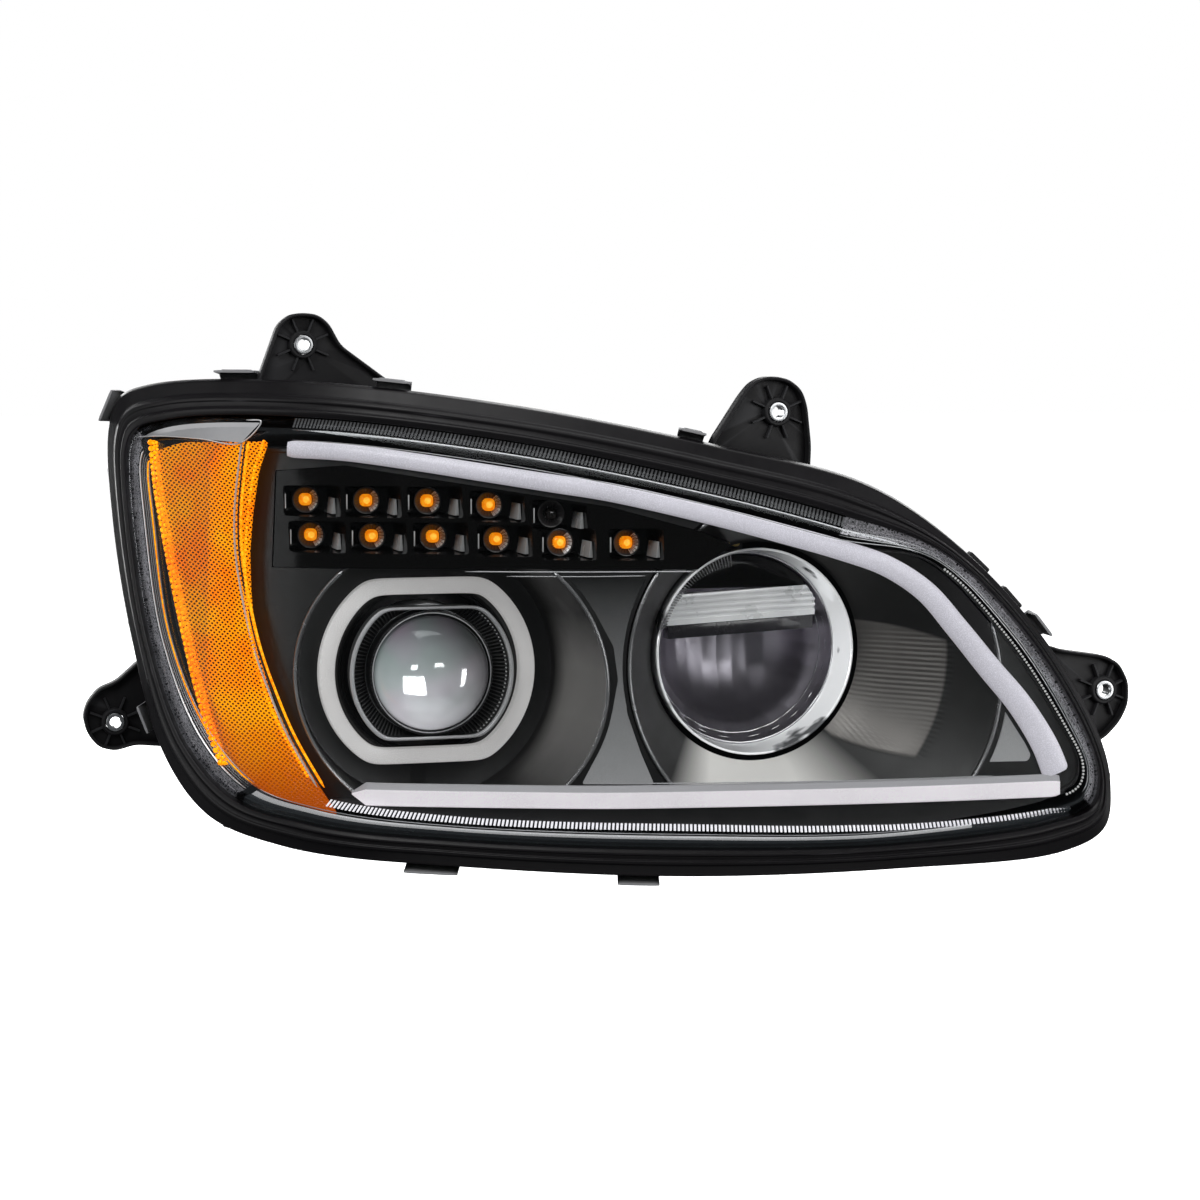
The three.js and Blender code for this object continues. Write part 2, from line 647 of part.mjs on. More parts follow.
// A carrier ring with two trunnion pins and an arm whose nut rides on the aiming screw.
function carrier(unit, inner, outer) {
  const half = 4;
  const [front, back] = [unit.pivot - half, unit.pivot + half];
  const ring = turned([[inner, front], [outer, front], [outer, back], [inner, back]], 28, unit.x, unit.z);
  const pins = [-1, 1].map((side) => {
    const from = at(unit.x + side * (outer - 3), unit.pivot, unit.z);
    return rod(TRUNNION, from, at(unit.x + side * (unit.post[1] - 1), unit.pivot, unit.z));
  });
  const arm = box(unit.x - 7, unit.x + 7, front, back, unit.z + outer - 3, unit.z + unit.arm + 7);
  const thread = disc(SCREW.radius + 0.8, unit.pivot - 20, unit.pivot + 20, unit.x, unit.z + unit.arm, 16);
  return cut(union(ring, ...pins, arm), thread);
}

function adjuster(unit) {
  const z = unit.z + unit.arm;
  const shaft = disc(SCREW.radius, unit.pivot - 10, unit.screwEnd + 2, unit.x, z, 16);
  const knob = disc(SCREW.knob, unit.screwEnd + CLEAR, unit.screwEnd + 8, unit.x, z, 6);
  return union(shaft, knob);
}

// ---------------------------------------------------------------- high beam unit
const highRing = () =>
  turned([[68.6, -53], [71, -53], [71, -50.5], [60, -25], [57, -25]], 32, HIGH.x, HIGH.z);

const highReflector = () =>
  turned(
    [[0, 34], [20, 33], [34, 28], [46, 18], [53, 6], [55, -8], [60, -22], [60, -24.6], [57, -24.6], [53, -8],
      [51, 5], [44, 16.5], [33, 26], [20, 31], [0, 32]],
    28, HIGH.x, HIGH.z,
  );

const insideBowl = () => disc(51.5, -40, 0, HIGH.x, HIGH.z, 28);

function highLedBar() {
  const { x, z } = HIGH;
  const bar = box(x - 46, x + 46, -23, -10, z + 19, z + 40).intersect(insideBowl());
  const grooves = [23, 27, 31, 35].map((up) => box(x - 60, x + 60, -24, -21.4, z + up, z + up + 1.6));
  return cut(bar, ...grooves);
}

function highLedBoard() {
  const { x, z } = HIGH;
  return box(x - 44, x + 44, -21.5, -10, z + 15.5, z + 18.7).intersect(insideBowl());
}

function highUpperShroud() {
  const { x, z } = HIGH;
  return box(x - 60, x + 60, -22, -19.5, z + 40.4, z + 60).intersect(insideBowl());
}

// ---------------------------------------------------------------- rear fittings
function serviceCap(unit) {
  const { domeEnd: end, x, z } = unit;
  const flange = unit.dome - 2;
  const lid = turned(
    [[0, end - 6], [DOME_MOUTH - 0.6, end - 6], [DOME_MOUTH - 0.6, end + 0.4], [flange, end + 0.4],
      [flange, end + 6], [flange - 3, end + 8], [0, end + 8]],
    28, x, z,
  );
  return union(lid, box(x - 34, x + 34, end + 7, end + 17, z - 4, z + 4));
}

function connectorSocket() {
  const { x, z, halfWidth, halfHeight, wall, front, back } = CONNECTOR;
  const shell = box(x - halfWidth, x + halfWidth, front, back, z - halfHeight, z + halfHeight);
  const hollow = box(x - halfWidth + wall, x + halfWidth - wall, front + 8, back + 1,
    z - halfHeight + wall, z + halfHeight - wall);
  const pins = [-7.5, 0, 7.5].flatMap((dx) =>
    [-3, 3].map((dz) => box(x + dx - 0.8, x + dx + 0.8, front + 7, back - 8, z + dz - 0.8, z + dz + 0.8)),
  );
  return union(cut(shell, hollow), ...pins);
}

// The finned lamp driver stands on the rear wall between the two domes.
function driverModule() {
  const { left, right, bottom, top, back, fins, pitch, groove } = DRIVER;
  const block = box(left, right, back - 38, back, bottom, top);
  const grooves = Array.from({ length: fins }, (_, i) => {
    const x = left + groove + i * pitch;
    return box(x, x + groove, back - 11, back + 2, bottom - 4, top + 8);
  });
  const rearWall = swept(tub(0, 0.02, FLANGE.front)).translate([0, 0.4, 0]);
  return cut(swept(block), rearWall, ...grooves.map(swept));
}

function ventCap() {
  const { x, z, stem, cap, from, wallBack, capHeight } = VENT;
  const end = wallBack + capHeight;
  return turned([[0, from], [stem, from], [stem, wallBack], [cap, wallBack], [cap, end], [0, end]], 20, x, z);
}

// ---------------------------------------------------------------- assembly
add("housing_shell", housing(), FINISH.housing);
add("perimeter_seal", swept(ringLoft(sectionLoops(SEAL_SECTION))), FINISH.seal);
add("outer_lens", swept(outerLens()), FINISH.lens);
add("main_bezel", mainBezel(), FINISH.bezel);
add("low_beam_bay", lowBay(), FINISH.bezel);
add("high_beam_bay", highBay(), FINISH.satin);
add("turn_panel", turnPanel(), FINISH.blackPlastic);
LEDS.forEach((led, i) => {
  add(`turn_led_${i + 1}`, turnLed(led), i + 1 === DARK_LED ? FINISH.darkLed : FINISH.led);
});
const widening = (t) => 0.95 + 0.35 * t;
add("light_bar_upper", swept(faceBar(UPPER_BAR, HALF_ROUND, BAR_OFFSET, widening)), FINISH.lightGuide);
add("light_bar_lower", swept(faceBar(LOWER_BAR, BEVELLED, BAR_OFFSET, () => 1, 10)), FINISH.lightGuide);
add("side_reflector", swept(facePatch(AMBER, AMBER_OFFSET, AMBER_OFFSET + LENS_WALL, 1.55)), FINISH.amber);
add("halo_ring", haloRing(), FINISH.halo);
for (const [name, place] of Object.entries(LUGS)) {
  add(`bushing_${name}`, bushing(place), FINISH.steel);
}
CLIPS.forEach(([place, half], i) => {
  add(`lens_clip_${i + 1}`, swept(lensClip(place, half)), FINISH.greyPlastic);
});
add("driver_module", driverModule(), FINISH.aluminium);
add("connector_socket", connectorSocket(), FINISH.blackPlastic);
add("vent_cap", ventCap(), FINISH.rubber);
add("low_beam_cap", serviceCap(LOW), FINISH.rubber);
add("high_beam_cap", serviceCap(HIGH), FINISH.rubber);

add("projector_lens", projectorLens(), FINISH.glass);
add("lens_retainer", lensRetainer(), FINISH.blackPlastic);
add("low_beam_shroud", lowShroud(), FINISH.blackPlastic);
add("low_beam_trim_ring", lowTrimRing(), FINISH.chrome);
add("projector_housing", projectorHousing(), FINISH.aluminium);
add("cutoff_shield", cutoffShield(), FINISH.steel);
add("low_beam_reflector", lowReflector(), FINISH.chrome);
add("low_beam_led_board", disc(48, 108.4, 110.4, LOW.x, LOW.z, 24), FINISH.board);
add("low_beam_heat_sink", heatSink(LOW, 50, 110.8, 165), FINISH.aluminium);
add("low_beam_carrier", carrier(LOW, 47, 64), FINISH.blackPlastic);

add("high_beam_ring", highRing(), FINISH.chrome);
add("high_beam_reflector", highReflector(), FINISH.chrome);
add("high_beam_led_bar", highLedBar(), FINISH.aluminium);
add("high_beam_led_board", highLedBoard(), FINISH.board);
add("high_beam_upper_shroud", highUpperShroud(), FINISH.blackPlastic);
add("high_beam_heat_sink", heatSink(HIGH, 46, 34.6, 98), FINISH.aluminium);
add("high_beam_carrier", carrier(HIGH, 55.7, 66), FINISH.blackPlastic);

add("low_beam_adjuster", adjuster(LOW), FINISH.brass);
add("high_beam_adjuster", adjuster(HIGH), FINISH.brass);

export default group;
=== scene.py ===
# The looks of the truck headlight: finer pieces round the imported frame, procedural materials, a studio.
# Shapes are worked out in millimetres in the lamp's swept frame or the vehicle frame, then put in metres.
import math
import bmesh
import bpy
import numpy as np
from mathutils import Matrix, Vector


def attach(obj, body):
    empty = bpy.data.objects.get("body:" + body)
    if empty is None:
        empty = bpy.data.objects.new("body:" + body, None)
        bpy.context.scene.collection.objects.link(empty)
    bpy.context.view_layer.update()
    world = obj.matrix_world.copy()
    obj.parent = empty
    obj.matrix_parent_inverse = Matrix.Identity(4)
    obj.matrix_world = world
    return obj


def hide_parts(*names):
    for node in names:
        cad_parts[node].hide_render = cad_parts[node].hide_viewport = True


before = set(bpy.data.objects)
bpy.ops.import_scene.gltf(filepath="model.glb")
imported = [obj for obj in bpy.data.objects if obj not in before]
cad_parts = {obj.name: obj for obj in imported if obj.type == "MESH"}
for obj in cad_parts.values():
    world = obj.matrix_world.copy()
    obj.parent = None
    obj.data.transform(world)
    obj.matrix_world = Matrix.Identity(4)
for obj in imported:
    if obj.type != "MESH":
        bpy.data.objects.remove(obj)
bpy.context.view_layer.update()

MM = 0.001
SWEEP = math.radians(16)  # the lamp's face is turned this far outboard of the beam axis
RIM_STEPS = 336  # points round the lamp's outline

# ------------------------------------------------------------------ camera, floor and light
CAMERA_RANGE = 1.6  # metres from the camera to the plane in front of the lens
FIELD = 0.78  # metres that the picture's width takes in there
FACE_FRONT = -0.1  # that plane, in the swept frame
ELEVATION = math.radians(5)
SENSOR = 36.0
FAR = 50  # metres that the camera sees
FLOOR_Z, FLOOR_HALF = -0.26, 30.0


def new_object(name, data):
    obj = bpy.data.objects.new(name, data)
    bpy.context.scene.collection.objects.link(obj)
    return obj


def swept_to_car(v):
    return Matrix.Rotation(-SWEEP, 4, "Z") @ Vector(v)


def camera():
    data = bpy.data.cameras.new("camera")
    data.sensor_width = SENSOR
    data.lens = SENSOR * CAMERA_RANGE / FIELD
    data.clip_end = FAR
    data.dof.use_dof = False
    eye = (0, FACE_FRONT - CAMERA_RANGE * math.cos(ELEVATION), CAMERA_RANGE * math.sin(ELEVATION))
    obj = new_object("camera", data)
    obj.matrix_world = (
        Matrix.Rotation(-SWEEP, 4, "Z")
        @ Matrix.Translation(eye)
        @ Matrix.Rotation(math.pi / 2 - ELEVATION, 4, "X")
    )
    bpy.context.scene.camera = obj


def soft_light(name, place, target, size, power, size_y=None):
    """A plain area light; place and target are metres in the swept frame."""
    data = bpy.data.lights.new(name, "AREA")
    data.shape = "RECTANGLE"
    data.size = size
    data.size_y = size_y or size
    data.energy = power
    obj = new_object(name, data)
    place, target = swept_to_car(place), swept_to_car(target)
    obj.location = place
    obj.rotation_euler = (target - place).to_track_quat("-Z", "Y").to_euler()
    return obj


PROJECTOR_AT = (-0.1125, -0.032, -0.0565)  # middle of the projector lens in the swept frame
# Panes seen in the projector lens: azimuth and elevation from it, width, height and power.
PANES = {
    "pane_main": (-8, -19.5, 0.64, 0.46, 14),
    "pane_left": (-5.3, 6.0, 0.18, 0.12, 0.7),
    "pane_middle": (28.8, 6.0, 0.18, 0.12, 0.7),
    "pane_right": (66, -9.7, 0.2, 0.36, 4.4),
}


def only_lights(light, objects):
    """Let a lamp light just these objects."""
    chosen = bpy.data.collections.new(light.name + "_receivers")
    for obj in objects:
        chosen.objects.link(obj)
    light.light_linking.receiver_collection = chosen


def spares(light, objects):
    """Let a lamp light everything but these objects."""
    only_lights(light, objects)
    for entry in light.light_linking.receiver_collection.collection_objects:
        entry.light_linking.link_state = "EXCLUDE"


def studio(lens, projector, ring, bar):
    centre = (0, 0, 0)
    soft_light("top", (0.1, -0.2, 1.9), centre, 1.8, 20)
    soft_light("rim", (0.6, 1.6, 1.2), centre, 1.4, 34)
    soft_light("back_fill", (-1.2, 1.7, 0.3), (0, 0.1, 0), 1.2, 22)
    soft_light("under", (0.1, -0.9, -1.0), (0, 0, -0.1), 1.5, 1, size_y=0.5)
    for lamp in (
        soft_light("key", (-0.9, -1.7, 1.5), centre, 1.2, 24),
        soft_light("fill", (1.2, -1.6, 0.6), centre, 0.9, 8),
        soft_light("side_right", (1.7, -0.7, 0.1), (0.1, 0, 0), 1.1, 14),
        soft_light("side_left", (-1.8, -0.5, 0.2), (-0.1, 0, 0), 1.2, 7),
    ):
        spares(lamp, [lens, projector])
    for name, (azimuth, elevation, width, height, power) in PANES.items():
        a, e = math.radians(azimuth), math.radians(elevation)
        way = Vector((math.sin(a) * math.cos(e), -math.cos(a) * math.cos(e), math.sin(e)))
        pane = soft_light(name, Vector(PROJECTOR_AT) + way, PROJECTOR_AT, width, power, size_y=height)
        only_lights(pane, [projector])
    glint = soft_light("ring_glint", (-0.75, -1.0, 0.12), (0.1, 0, -0.04), 0.5, 34)
    only_lights(glint, [ring])
    only_lights(soft_light("bar_glint", (-0.3, -1.2, 0.5), (0.1, 0, -0.02), 0.5, 5), [bar])

    backdrop()


def backdrop():
    """The world: white to the camera, dim and cool as light."""
    world = bpy.data.worlds.new("studio")
    bpy.context.scene.world = world
    world.use_nodes = True
    tree = world.node_tree
    tree.nodes.clear()
    mix = tree.nodes.new("ShaderNodeMixShader")
    seen = tree.nodes.new("ShaderNodeLightPath")
    tree.links.new(seen.outputs["Is Camera Ray"], mix.inputs["Fac"])
    for slot, color, strength in ((1, (0.82, 0.86, 0.9, 1), 0.1), (2, (1, 1, 1, 1), 1.0)):
        shader = tree.nodes.new("ShaderNodeBackground")
        shader.inputs["Color"].default_value = color
        shader.inputs["Strength"].default_value = strength
        tree.links.new(shader.outputs["Background"], mix.inputs[slot])
    out = tree.nodes.new("ShaderNodeOutputWorld")
    tree.links.new(mix.outputs["Shader"], out.inputs["Surface"])


def floor():
    verts = [(x * FLOOR_HALF, y * FLOOR_HALF, FLOOR_Z) for x, y in ((-1, -1), (1, -1), (1, 1), (-1, 1))]
    mesh = bpy.data.meshes.new("floor")
    mesh.from_pydata(verts, [], [(0, 1, 2, 3)])
    obj = new_object("floor", mesh)
    material = bpy.data.materials.new("floor")
    material.use_nodes = True
    shader = material.node_tree.nodes["Principled BSDF"]
    shader.inputs["Base Color"].default_value = (0.95, 0.95, 0.95, 1)
    shader.inputs["Roughness"].default_value = 0.9
    shader.inputs["Emission Color"].default_value = (1, 1, 1, 1)
    shader.inputs["Emission Strength"].default_value = 1.0
    mesh.materials.append(material)
    obj.visible_diffuse = False
    obj.visible_glossy = False
    obj.visible_shadow = False


# ------------------------------------------------------------------ the lamp's face
HOUSING_EDGE = [
    (-357, 107), (-348, 130), (-320, 140), (-204, 142), (-53, 125), (80, 99), (180, 73),
    (244, 29), (299, -31), (337, -96), (345, -130), (341, -159), (313, -174), (200, -183),
    (53, -187), (-107, -181), (-217, -173), (-273, -157), (-309, -116), (-335, -38), (-352, 42),
]
LENS_EDGE = [
    (-332, 90), (-328, 103), (-304, 113), (-202, 116), (-60, 100), (69, 75), (165, 50),
    (229, 26), (282, -28), (321, -90), (332, -120), (329, -141), (305, -153), (197, -166),
    (53, -168), (-102, -163), (-201, -154), (-249, -140), (-284, -103), (-312, -35), (-327, 44),
]
FACE_CENTRE = np.array([15.0, -30.0])


def lens_depth(x, z):
    """Depth of the outer lens surface in the swept frame."""
    crown = 0.0003 * (x - 50) ** 2
    wrap = 0.0018 * np.maximum(0, -130 - x) ** 2
    return -80 + crown + wrap + 0.12 * z + 0.0002 * z * z


def spline(points, steps, closed):
    """Centripetal Catmull-Rom through the points, `steps` samples to each stretch between two."""
    p = np.array(points, float)
    if closed:
        a, b, c, d = np.roll(p, 1, 0), p, np.roll(p, -1, 0), np.roll(p, -2, 0)
    else:
        ends = np.vstack([2 * p[0] - p[1], p, 2 * p[-1] - p[-2]])
        a, b, c, d = ends[:-3], ends[1:-2], ends[2:-1], ends[3:]
    gap = lambda u, v: np.maximum(np.sqrt(np.linalg.norm(u - v, axis=1)), 1e-4)[:, None]
    t0, t1, t2 = gap(a, b), gap(b, c), gap(c, d)
    m1 = ((b - a) / t0 - (c - a) / (t0 + t1) + (c - b) / t1) * t1
    m2 = ((c - b) / t1 - (d - b) / (t1 + t2) + (d - c) / t2) * t1
    w = (np.arange(steps) / steps)[None, :, None]
    b, c, m1, m2 = (v[:, None, :] for v in (b, c, m1, m2))
    at = b + m1 * w + (3 * (c - b) - 2 * m1 - m2) * w**2 + (2 * (b - c) + m1 + m2) * w**3
    at = at.reshape(-1, p.shape[1])
    return at if closed else np.vstack([at, p[-1]])


EDGE_STEPS = RIM_STEPS // len(HOUSING_EDGE)
HOUSING_LINE = spline(HOUSING_EDGE, EDGE_STEPS, True)
LENS_LINE = spline(LENS_EDGE, EDGE_STEPS, True)


def rim(across):
    """Points round the rim: 0 on the housing's edge, 1 on the lens's edge, more further in."""
    share = np.broadcast_to(np.asarray(across, float), (RIM_STEPS,))[:, None]
    return HOUSING_LINE * (1 - share) + LENS_LINE * share


def behind(offset):
    return lambda x, z: lens_depth(x, z) + offset


def loop(across, depth, fill=1.0):
    """One loop round the rim in the swept frame, drawn in towards the face's centre by `fill`."""
    xz = FACE_CENTRE + (rim(across) - FACE_CENTRE) * fill
    return np.column_stack([xz[:, 0], depth(xz[:, 0], xz[:, 1]), xz[:, 1]])


def swept(points):
    """Points of the swept frame in the vehicle frame."""
    c, s = math.cos(SWEEP), math.sin(SWEEP)
    p = np.asarray(points, float)
    return np.column_stack([p[:, 0] * c + p[:, 1] * s, -p[:, 0] * s + p[:, 1] * c, p[:, 2]])


def unswept(points):
    """Points of the vehicle frame in the swept frame."""
    c, s = math.cos(SWEEP), math.sin(SWEEP)
    p = np.asarray(points, float)
    return np.column_stack([p[:, 0] * c - p[:, 1] * s, p[:, 0] * s + p[:, 1] * c, p[:, 2]])


def swept_shape(shape):
    verts, faces = shape
    return swept(verts), faces


def on_lens(line, offset):
    """A line drawn in X and Z, laid at an offset behind the lens, in the vehicle frame."""
    x, z = np.asarray(line, float).T
    return swept(np.column_stack([x, lens_depth(x, z) + offset, z]))


# ------------------------------------------------------------------ mesh building
SHARP = math.radians(32)  # edges bent more than this stay sharp
WELD = 1e-6  # metres within which points are welded
BEVEL_ANGLE = math.radians(40)
TIP = 1e-4  # millimetres of radius left where a turned profile meets its axis


def mesh_object(name, verts, faces):
    """An object from millimetre points in the vehicle frame."""
    mesh = bpy.data.meshes.new(name)
    mesh.from_pydata((np.asarray(verts, float) * MM).tolist(), [], faces)
    return new_object(name, mesh)


def cleaned(obj, sharp=None):
    """Weld doubled points and turn every face outwards; given an angle, smooth all but the sharp edges."""
    bm = bmesh.new()
    bm.from_mesh(obj.data)
    bmesh.ops.remove_doubles(bm, verts=bm.verts, dist=WELD)
    bmesh.ops.recalc_face_normals(bm, faces=bm.faces)
    if sharp:
        for face in bm.faces:
            face.smooth = True
        for edge in bm.edges:
            edge.smooth = edge.calc_face_angle(math.pi) < sharp
    bm.to_mesh(obj.data)
    bm.free()
    return obj


def finished(obj, name, look, node=None, body="housing", sharp=SHARP):
    """Name and smooth an object, give it its looks, and put it on its body."""
    obj.name = name
    cleaned(obj, sharp)
    obj.data.materials.clear()
    obj.data.materials.append(MAT[look])
    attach(obj, body)
    if node:
        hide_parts(node)
    return obj


def piece(name, shape, look, node=None, body="housing", sharp=SHARP):
    """A finished piece from a shape's points and faces."""
    return finished(mesh_object(name, *shape), name, look, node, body, sharp)


def loose(verts, faces):
    """A clean object to cut, or to cut with, before it is finished."""
    return cleaned(mesh_object("tool", verts, faces))


def skin(loops, ring=False, first_tip=None, last_tip=None):
    """Vertices and faces over equal closed loops; open ends are capped with a fan."""
    n = len(loops[0])
    verts = np.vstack(loops)
    j = np.arange(n)
    k = (j + 1) % n
    faces = []
    for i in range(len(loops) if ring else len(loops) - 1):
        a, b = i * n, ((i + 1) % len(loops)) * n
        faces += np.column_stack([a + j, a + k, b + k, b + j]).tolist()
    if not ring:
        tips = [loops[0].mean(0) if first_tip is None else first_tip]
        tips.append(loops[-1].mean(0) if last_tip is None else last_tip)
        first, last = len(verts), len(verts) + 1
        verts = np.vstack([verts, tips])
        base = (len(loops) - 1) * n
        faces += np.column_stack([np.full(n, first), k, j]).tolist()
        faces += np.column_stack([np.full(n, last), base + j, base + k]).tolist()
    return verts, faces


def full_turn(count):
    return np.arange(count) * 2 * math.pi / count


def round_loop(turn, radius, y, x=0.0, z=0.0):
    """A loop about an axis along Y; radius and depth are numbers, or one value for each angle of `turn`."""
    depth = np.full(len(turn), y, float)
    return np.column_stack([x + radius * np.cos(turn), depth, z + radius * np.sin(turn)])


def flat_loop(outline, y, x=0.0, z=0.0):
    """A loop drawn in X and Z about a point, standing at one depth."""
    o = np.asarray(outline, float)
    return np.column_stack([x + o[:, 0], np.full(len(o), y, float), z + o[:, 1]])


def at_angle(angle, radius, x=0.0, z=0.0):
    return x + radius * math.cos(angle), z + radius * math.sin(angle)


def turned(profile, segments, x=0.0, z=0.0):
    """A solid of revolution about an axis along Y; the profile lists (radius, y)."""
    turn = np.arange(segments) * (2 * math.pi / segments)
    loops = [round_loop(turn, max(r, TIP), y, x, z) for r, y in profile]
    hollow = profile[0][0] > 10 * TIP
    return skin(loops, ring=hollow)


def rounded(profile, radius, steps=4, closed=True):
    """Round the corners of a flat outline or profile."""
    p = [np.array(q, float) for q in profile]
    out = []
    for i, corner in enumerate(p):
        if not closed and i in (0, len(p) - 1):
            out.append(tuple(corner))
            continue
        before, after = p[i - 1] - corner, p[(i + 1) % len(p)] - corner
        lb, la = np.linalg.norm(before), np.linalg.norm(after)
        r = min(radius, lb * 0.45, la * 0.45)
        start, end = corner + before / lb * r, corner + after / la * r
        for s in range(steps + 1):
            t = s / steps
            out.append(tuple(start * (1 - t) ** 2 + corner * 2 * t * (1 - t) + end * t * t))
    return out


def box_part(x0, x1, y0, y1, z0, z1):
    verts = [(x, y, z) for x in (x0, x1) for y in (y0, y1) for z in (z0, z1)]
    faces = [(0, 1, 3, 2), (4, 6, 7, 5), (0, 4, 5, 1), (2, 3, 7, 6), (0, 2, 6, 4), (1, 5, 7, 3)]
    return np.array(verts, float), faces


def joined(*parts):
    verts, faces, base = [], [], 0
    for v, f in parts:
        verts.append(np.asarray(v, float))
        faces += [[i + base for i in face] for face in f]
        base += len(v)
    return np.vstack(verts), faces


def prism(outline, y0, y1):
    """A shape drawn in X and Z, standing between two depths, capped by fans about its middle."""
    return skin([flat_loop(outline, y) for y in (y0, y1)])


def bevelled(obj, width, segments=2):
    """Bevel the edges that turn by more than BEVEL_ANGLE."""
    mod = obj.modifiers.new("bevel", "BEVEL")
    mod.width = width * MM
    mod.segments = segments
    mod.limit_method = "ANGLE"
    mod.angle_limit = BEVEL_ANGLE
    mod.harden_normals = False
    return baked(obj)


def baked(obj):
    """Apply every modifier of an object to its mesh."""
    depsgraph = bpy.context.evaluated_depsgraph_get()
    mesh = bpy.data.meshes.new_from_object(obj.evaluated_get(depsgraph))
    old = obj.data
    obj.modifiers.clear()
    obj.data = mesh
    bpy.data.meshes.remove(old)
    return obj


def cut_by(obj, tools, operation="DIFFERENCE"):
    """Boolean an object by several loose tools, which are then removed."""
    for tool in tools:
        mod = obj.modifiers.new("cut", "BOOLEAN")
        mod.object = tool
        mod.operation = operation
        mod.solver = "EXACT"
    bpy.context.view_layer.update()
    baked(obj)
    for tool in tools:
        bpy.data.objects.remove(tool)
    return obj


# ------------------------------------------------------------------ materials
class Look:
    """A material made of shader nodes; every input takes a number, a colour or another node's output."""

    def __init__(self, name):
        self.material = bpy.data.materials.new(name)
        self.material.use_nodes = True
        self.tree = self.material.node_tree
        self.shader = self.tree.nodes["Principled BSDF"]

    def put(self, socket, value):
        if isinstance(value, bpy.types.NodeSocket):
            self.tree.links.new(value, socket)
        else:
            socket.default_value = (*value, 1) if isinstance(value, tuple) else value

    def feed(self, **inputs):
        """Set or link inputs of the main shader; an underscore stands for a space."""
        for name, value in inputs.items():
            self.put(self.shader.inputs[name.replace("_", " ")], value)

    def add(self, kind, inputs, **settings):
        """A new node with its settings and its inputs, which are given by name or number."""
        node = self.tree.nodes.new("ShaderNode" + kind)
        for key, value in settings.items():
            setattr(node, key, value)
        for key, value in inputs.items():
            self.put(node.inputs[key], value)
        return node

    def coords(self):
        return self.add("TexCoord", {}).outputs["Object"]

    def place(self):
        """The object's own X and Z, in metres."""
        split = self.add("SeparateXYZ", {"Vector": self.coords()})
        return split.outputs["X"], split.outputs["Z"]

    def noise(self, scale, detail=4.0, roughness=0.6):
        inputs = {"Scale": scale, "Detail": detail, "Roughness": roughness, "Vector": self.coords()}
        return self.add("TexNoise", inputs).outputs["Fac"]

    def ramp(self, value, low, high, start=0.3, end=0.7):
        """Value from start to end, turned into low to high."""
        inputs = {"Value": value, "From Min": start, "From Max": end, "To Min": low, "To Max": high}
        return self.add("MapRange", inputs).outputs["Result"]

    def mix(self, factor, a, b):
        """A colour between a and b."""
        node = self.add("Mix", {}, data_type="RGBA")
        for key, value in (("Factor", factor), ("A", a), ("B", b)):
            self.put(node.inputs[key], value)
        return node.outputs["Result"]

    def math(self, operation, a, b=0.0):
        return self.add("Math", {0: a, 1: b}, operation=operation).outputs["Value"]

    def bump(self, height, strength, distance):
        inputs = {"Height": height, "Strength": strength, "Distance": distance * MM}
        self.feed(Normal=self.add("Bump", inputs).outputs["Normal"])

    def edges(self):
        """A mask that is 1 along the mesh's convex edges."""
        return self.ramp(self.add("NewGeometry", {}).outputs["Pointiness"], 0.0, 1.0, 0.52, 0.62)

    def polar(self, unit):
        """Angle about a lamp's beam axis and distance from it."""
        x, z = self.place()
        across, up = self.math("SUBTRACT", x, unit["x"] * MM), self.math("SUBTRACT", z, unit["z"] * MM)
        squares = self.math("ADD", self.math("MULTIPLY", across, across), self.math("MULTIPLY", up, up))
        return self.math("ARCTAN2", up, across), self.math("SQRT", squares)


def surface(name, color, rough, metal=0.0, grain=900, grain_depth=0.03, spread=0.06, worn=None,
            mottle=0.12, coat=0.0, specular=0.5):
    """A moulded or metal surface: mottled colour, uneven gloss, fine grain and lighter edges."""
    m = Look(name)
    dark = tuple(c * (1 - mottle) for c in color)
    light = tuple(min(1, c * (1 + mottle)) for c in color)
    base = m.mix(m.ramp(m.noise(14, 5), 0, 1), dark, light)
    if worn:
        base = m.mix(m.edges(), base, worn)
    gloss = m.ramp(m.noise(55, 6, 0.7), max(0.02, rough - spread), min(1, rough + spread))
    m.feed(Base_Color=base, Roughness=gloss, Metallic=metal, Specular_IOR_Level=specular, Coat_Weight=coat)
    m.bump(m.noise(grain, 3), 0.35, grain_depth)
    return m.material


def clear_plastic(name, tint, reflect):
    """Thin clear plastic: it lets light straight through and reflects by Fresnel."""
    m = Look(name)
    m.tree.nodes.clear()
    clear = m.add("BsdfTransparent", {"Color": tint}).outputs["BSDF"]
    scuffs = m.ramp(m.noise(120, 5, 0.7), 0.02, 0.05)
    plating = {"Base Color": (0.6, 0.62, 0.64), "Metallic": 1.0, "Roughness": scuffs}
    gloss = m.add("BsdfPrincipled", plating).outputs["BSDF"]
    fresnel = m.add("Fresnel", {"IOR": 1.45}).outputs["Fac"]
    amount = m.add("Math", {0: fresnel, 1: reflect, 2: 0.0}, operation="MULTIPLY_ADD", use_clamp=True)
    mixed = m.add("MixShader", {"Fac": amount.outputs["Value"], 1: clear, 2: gloss}).outputs["Shader"]
    m.add("OutputMaterial", {"Surface": mixed})
    return m.material


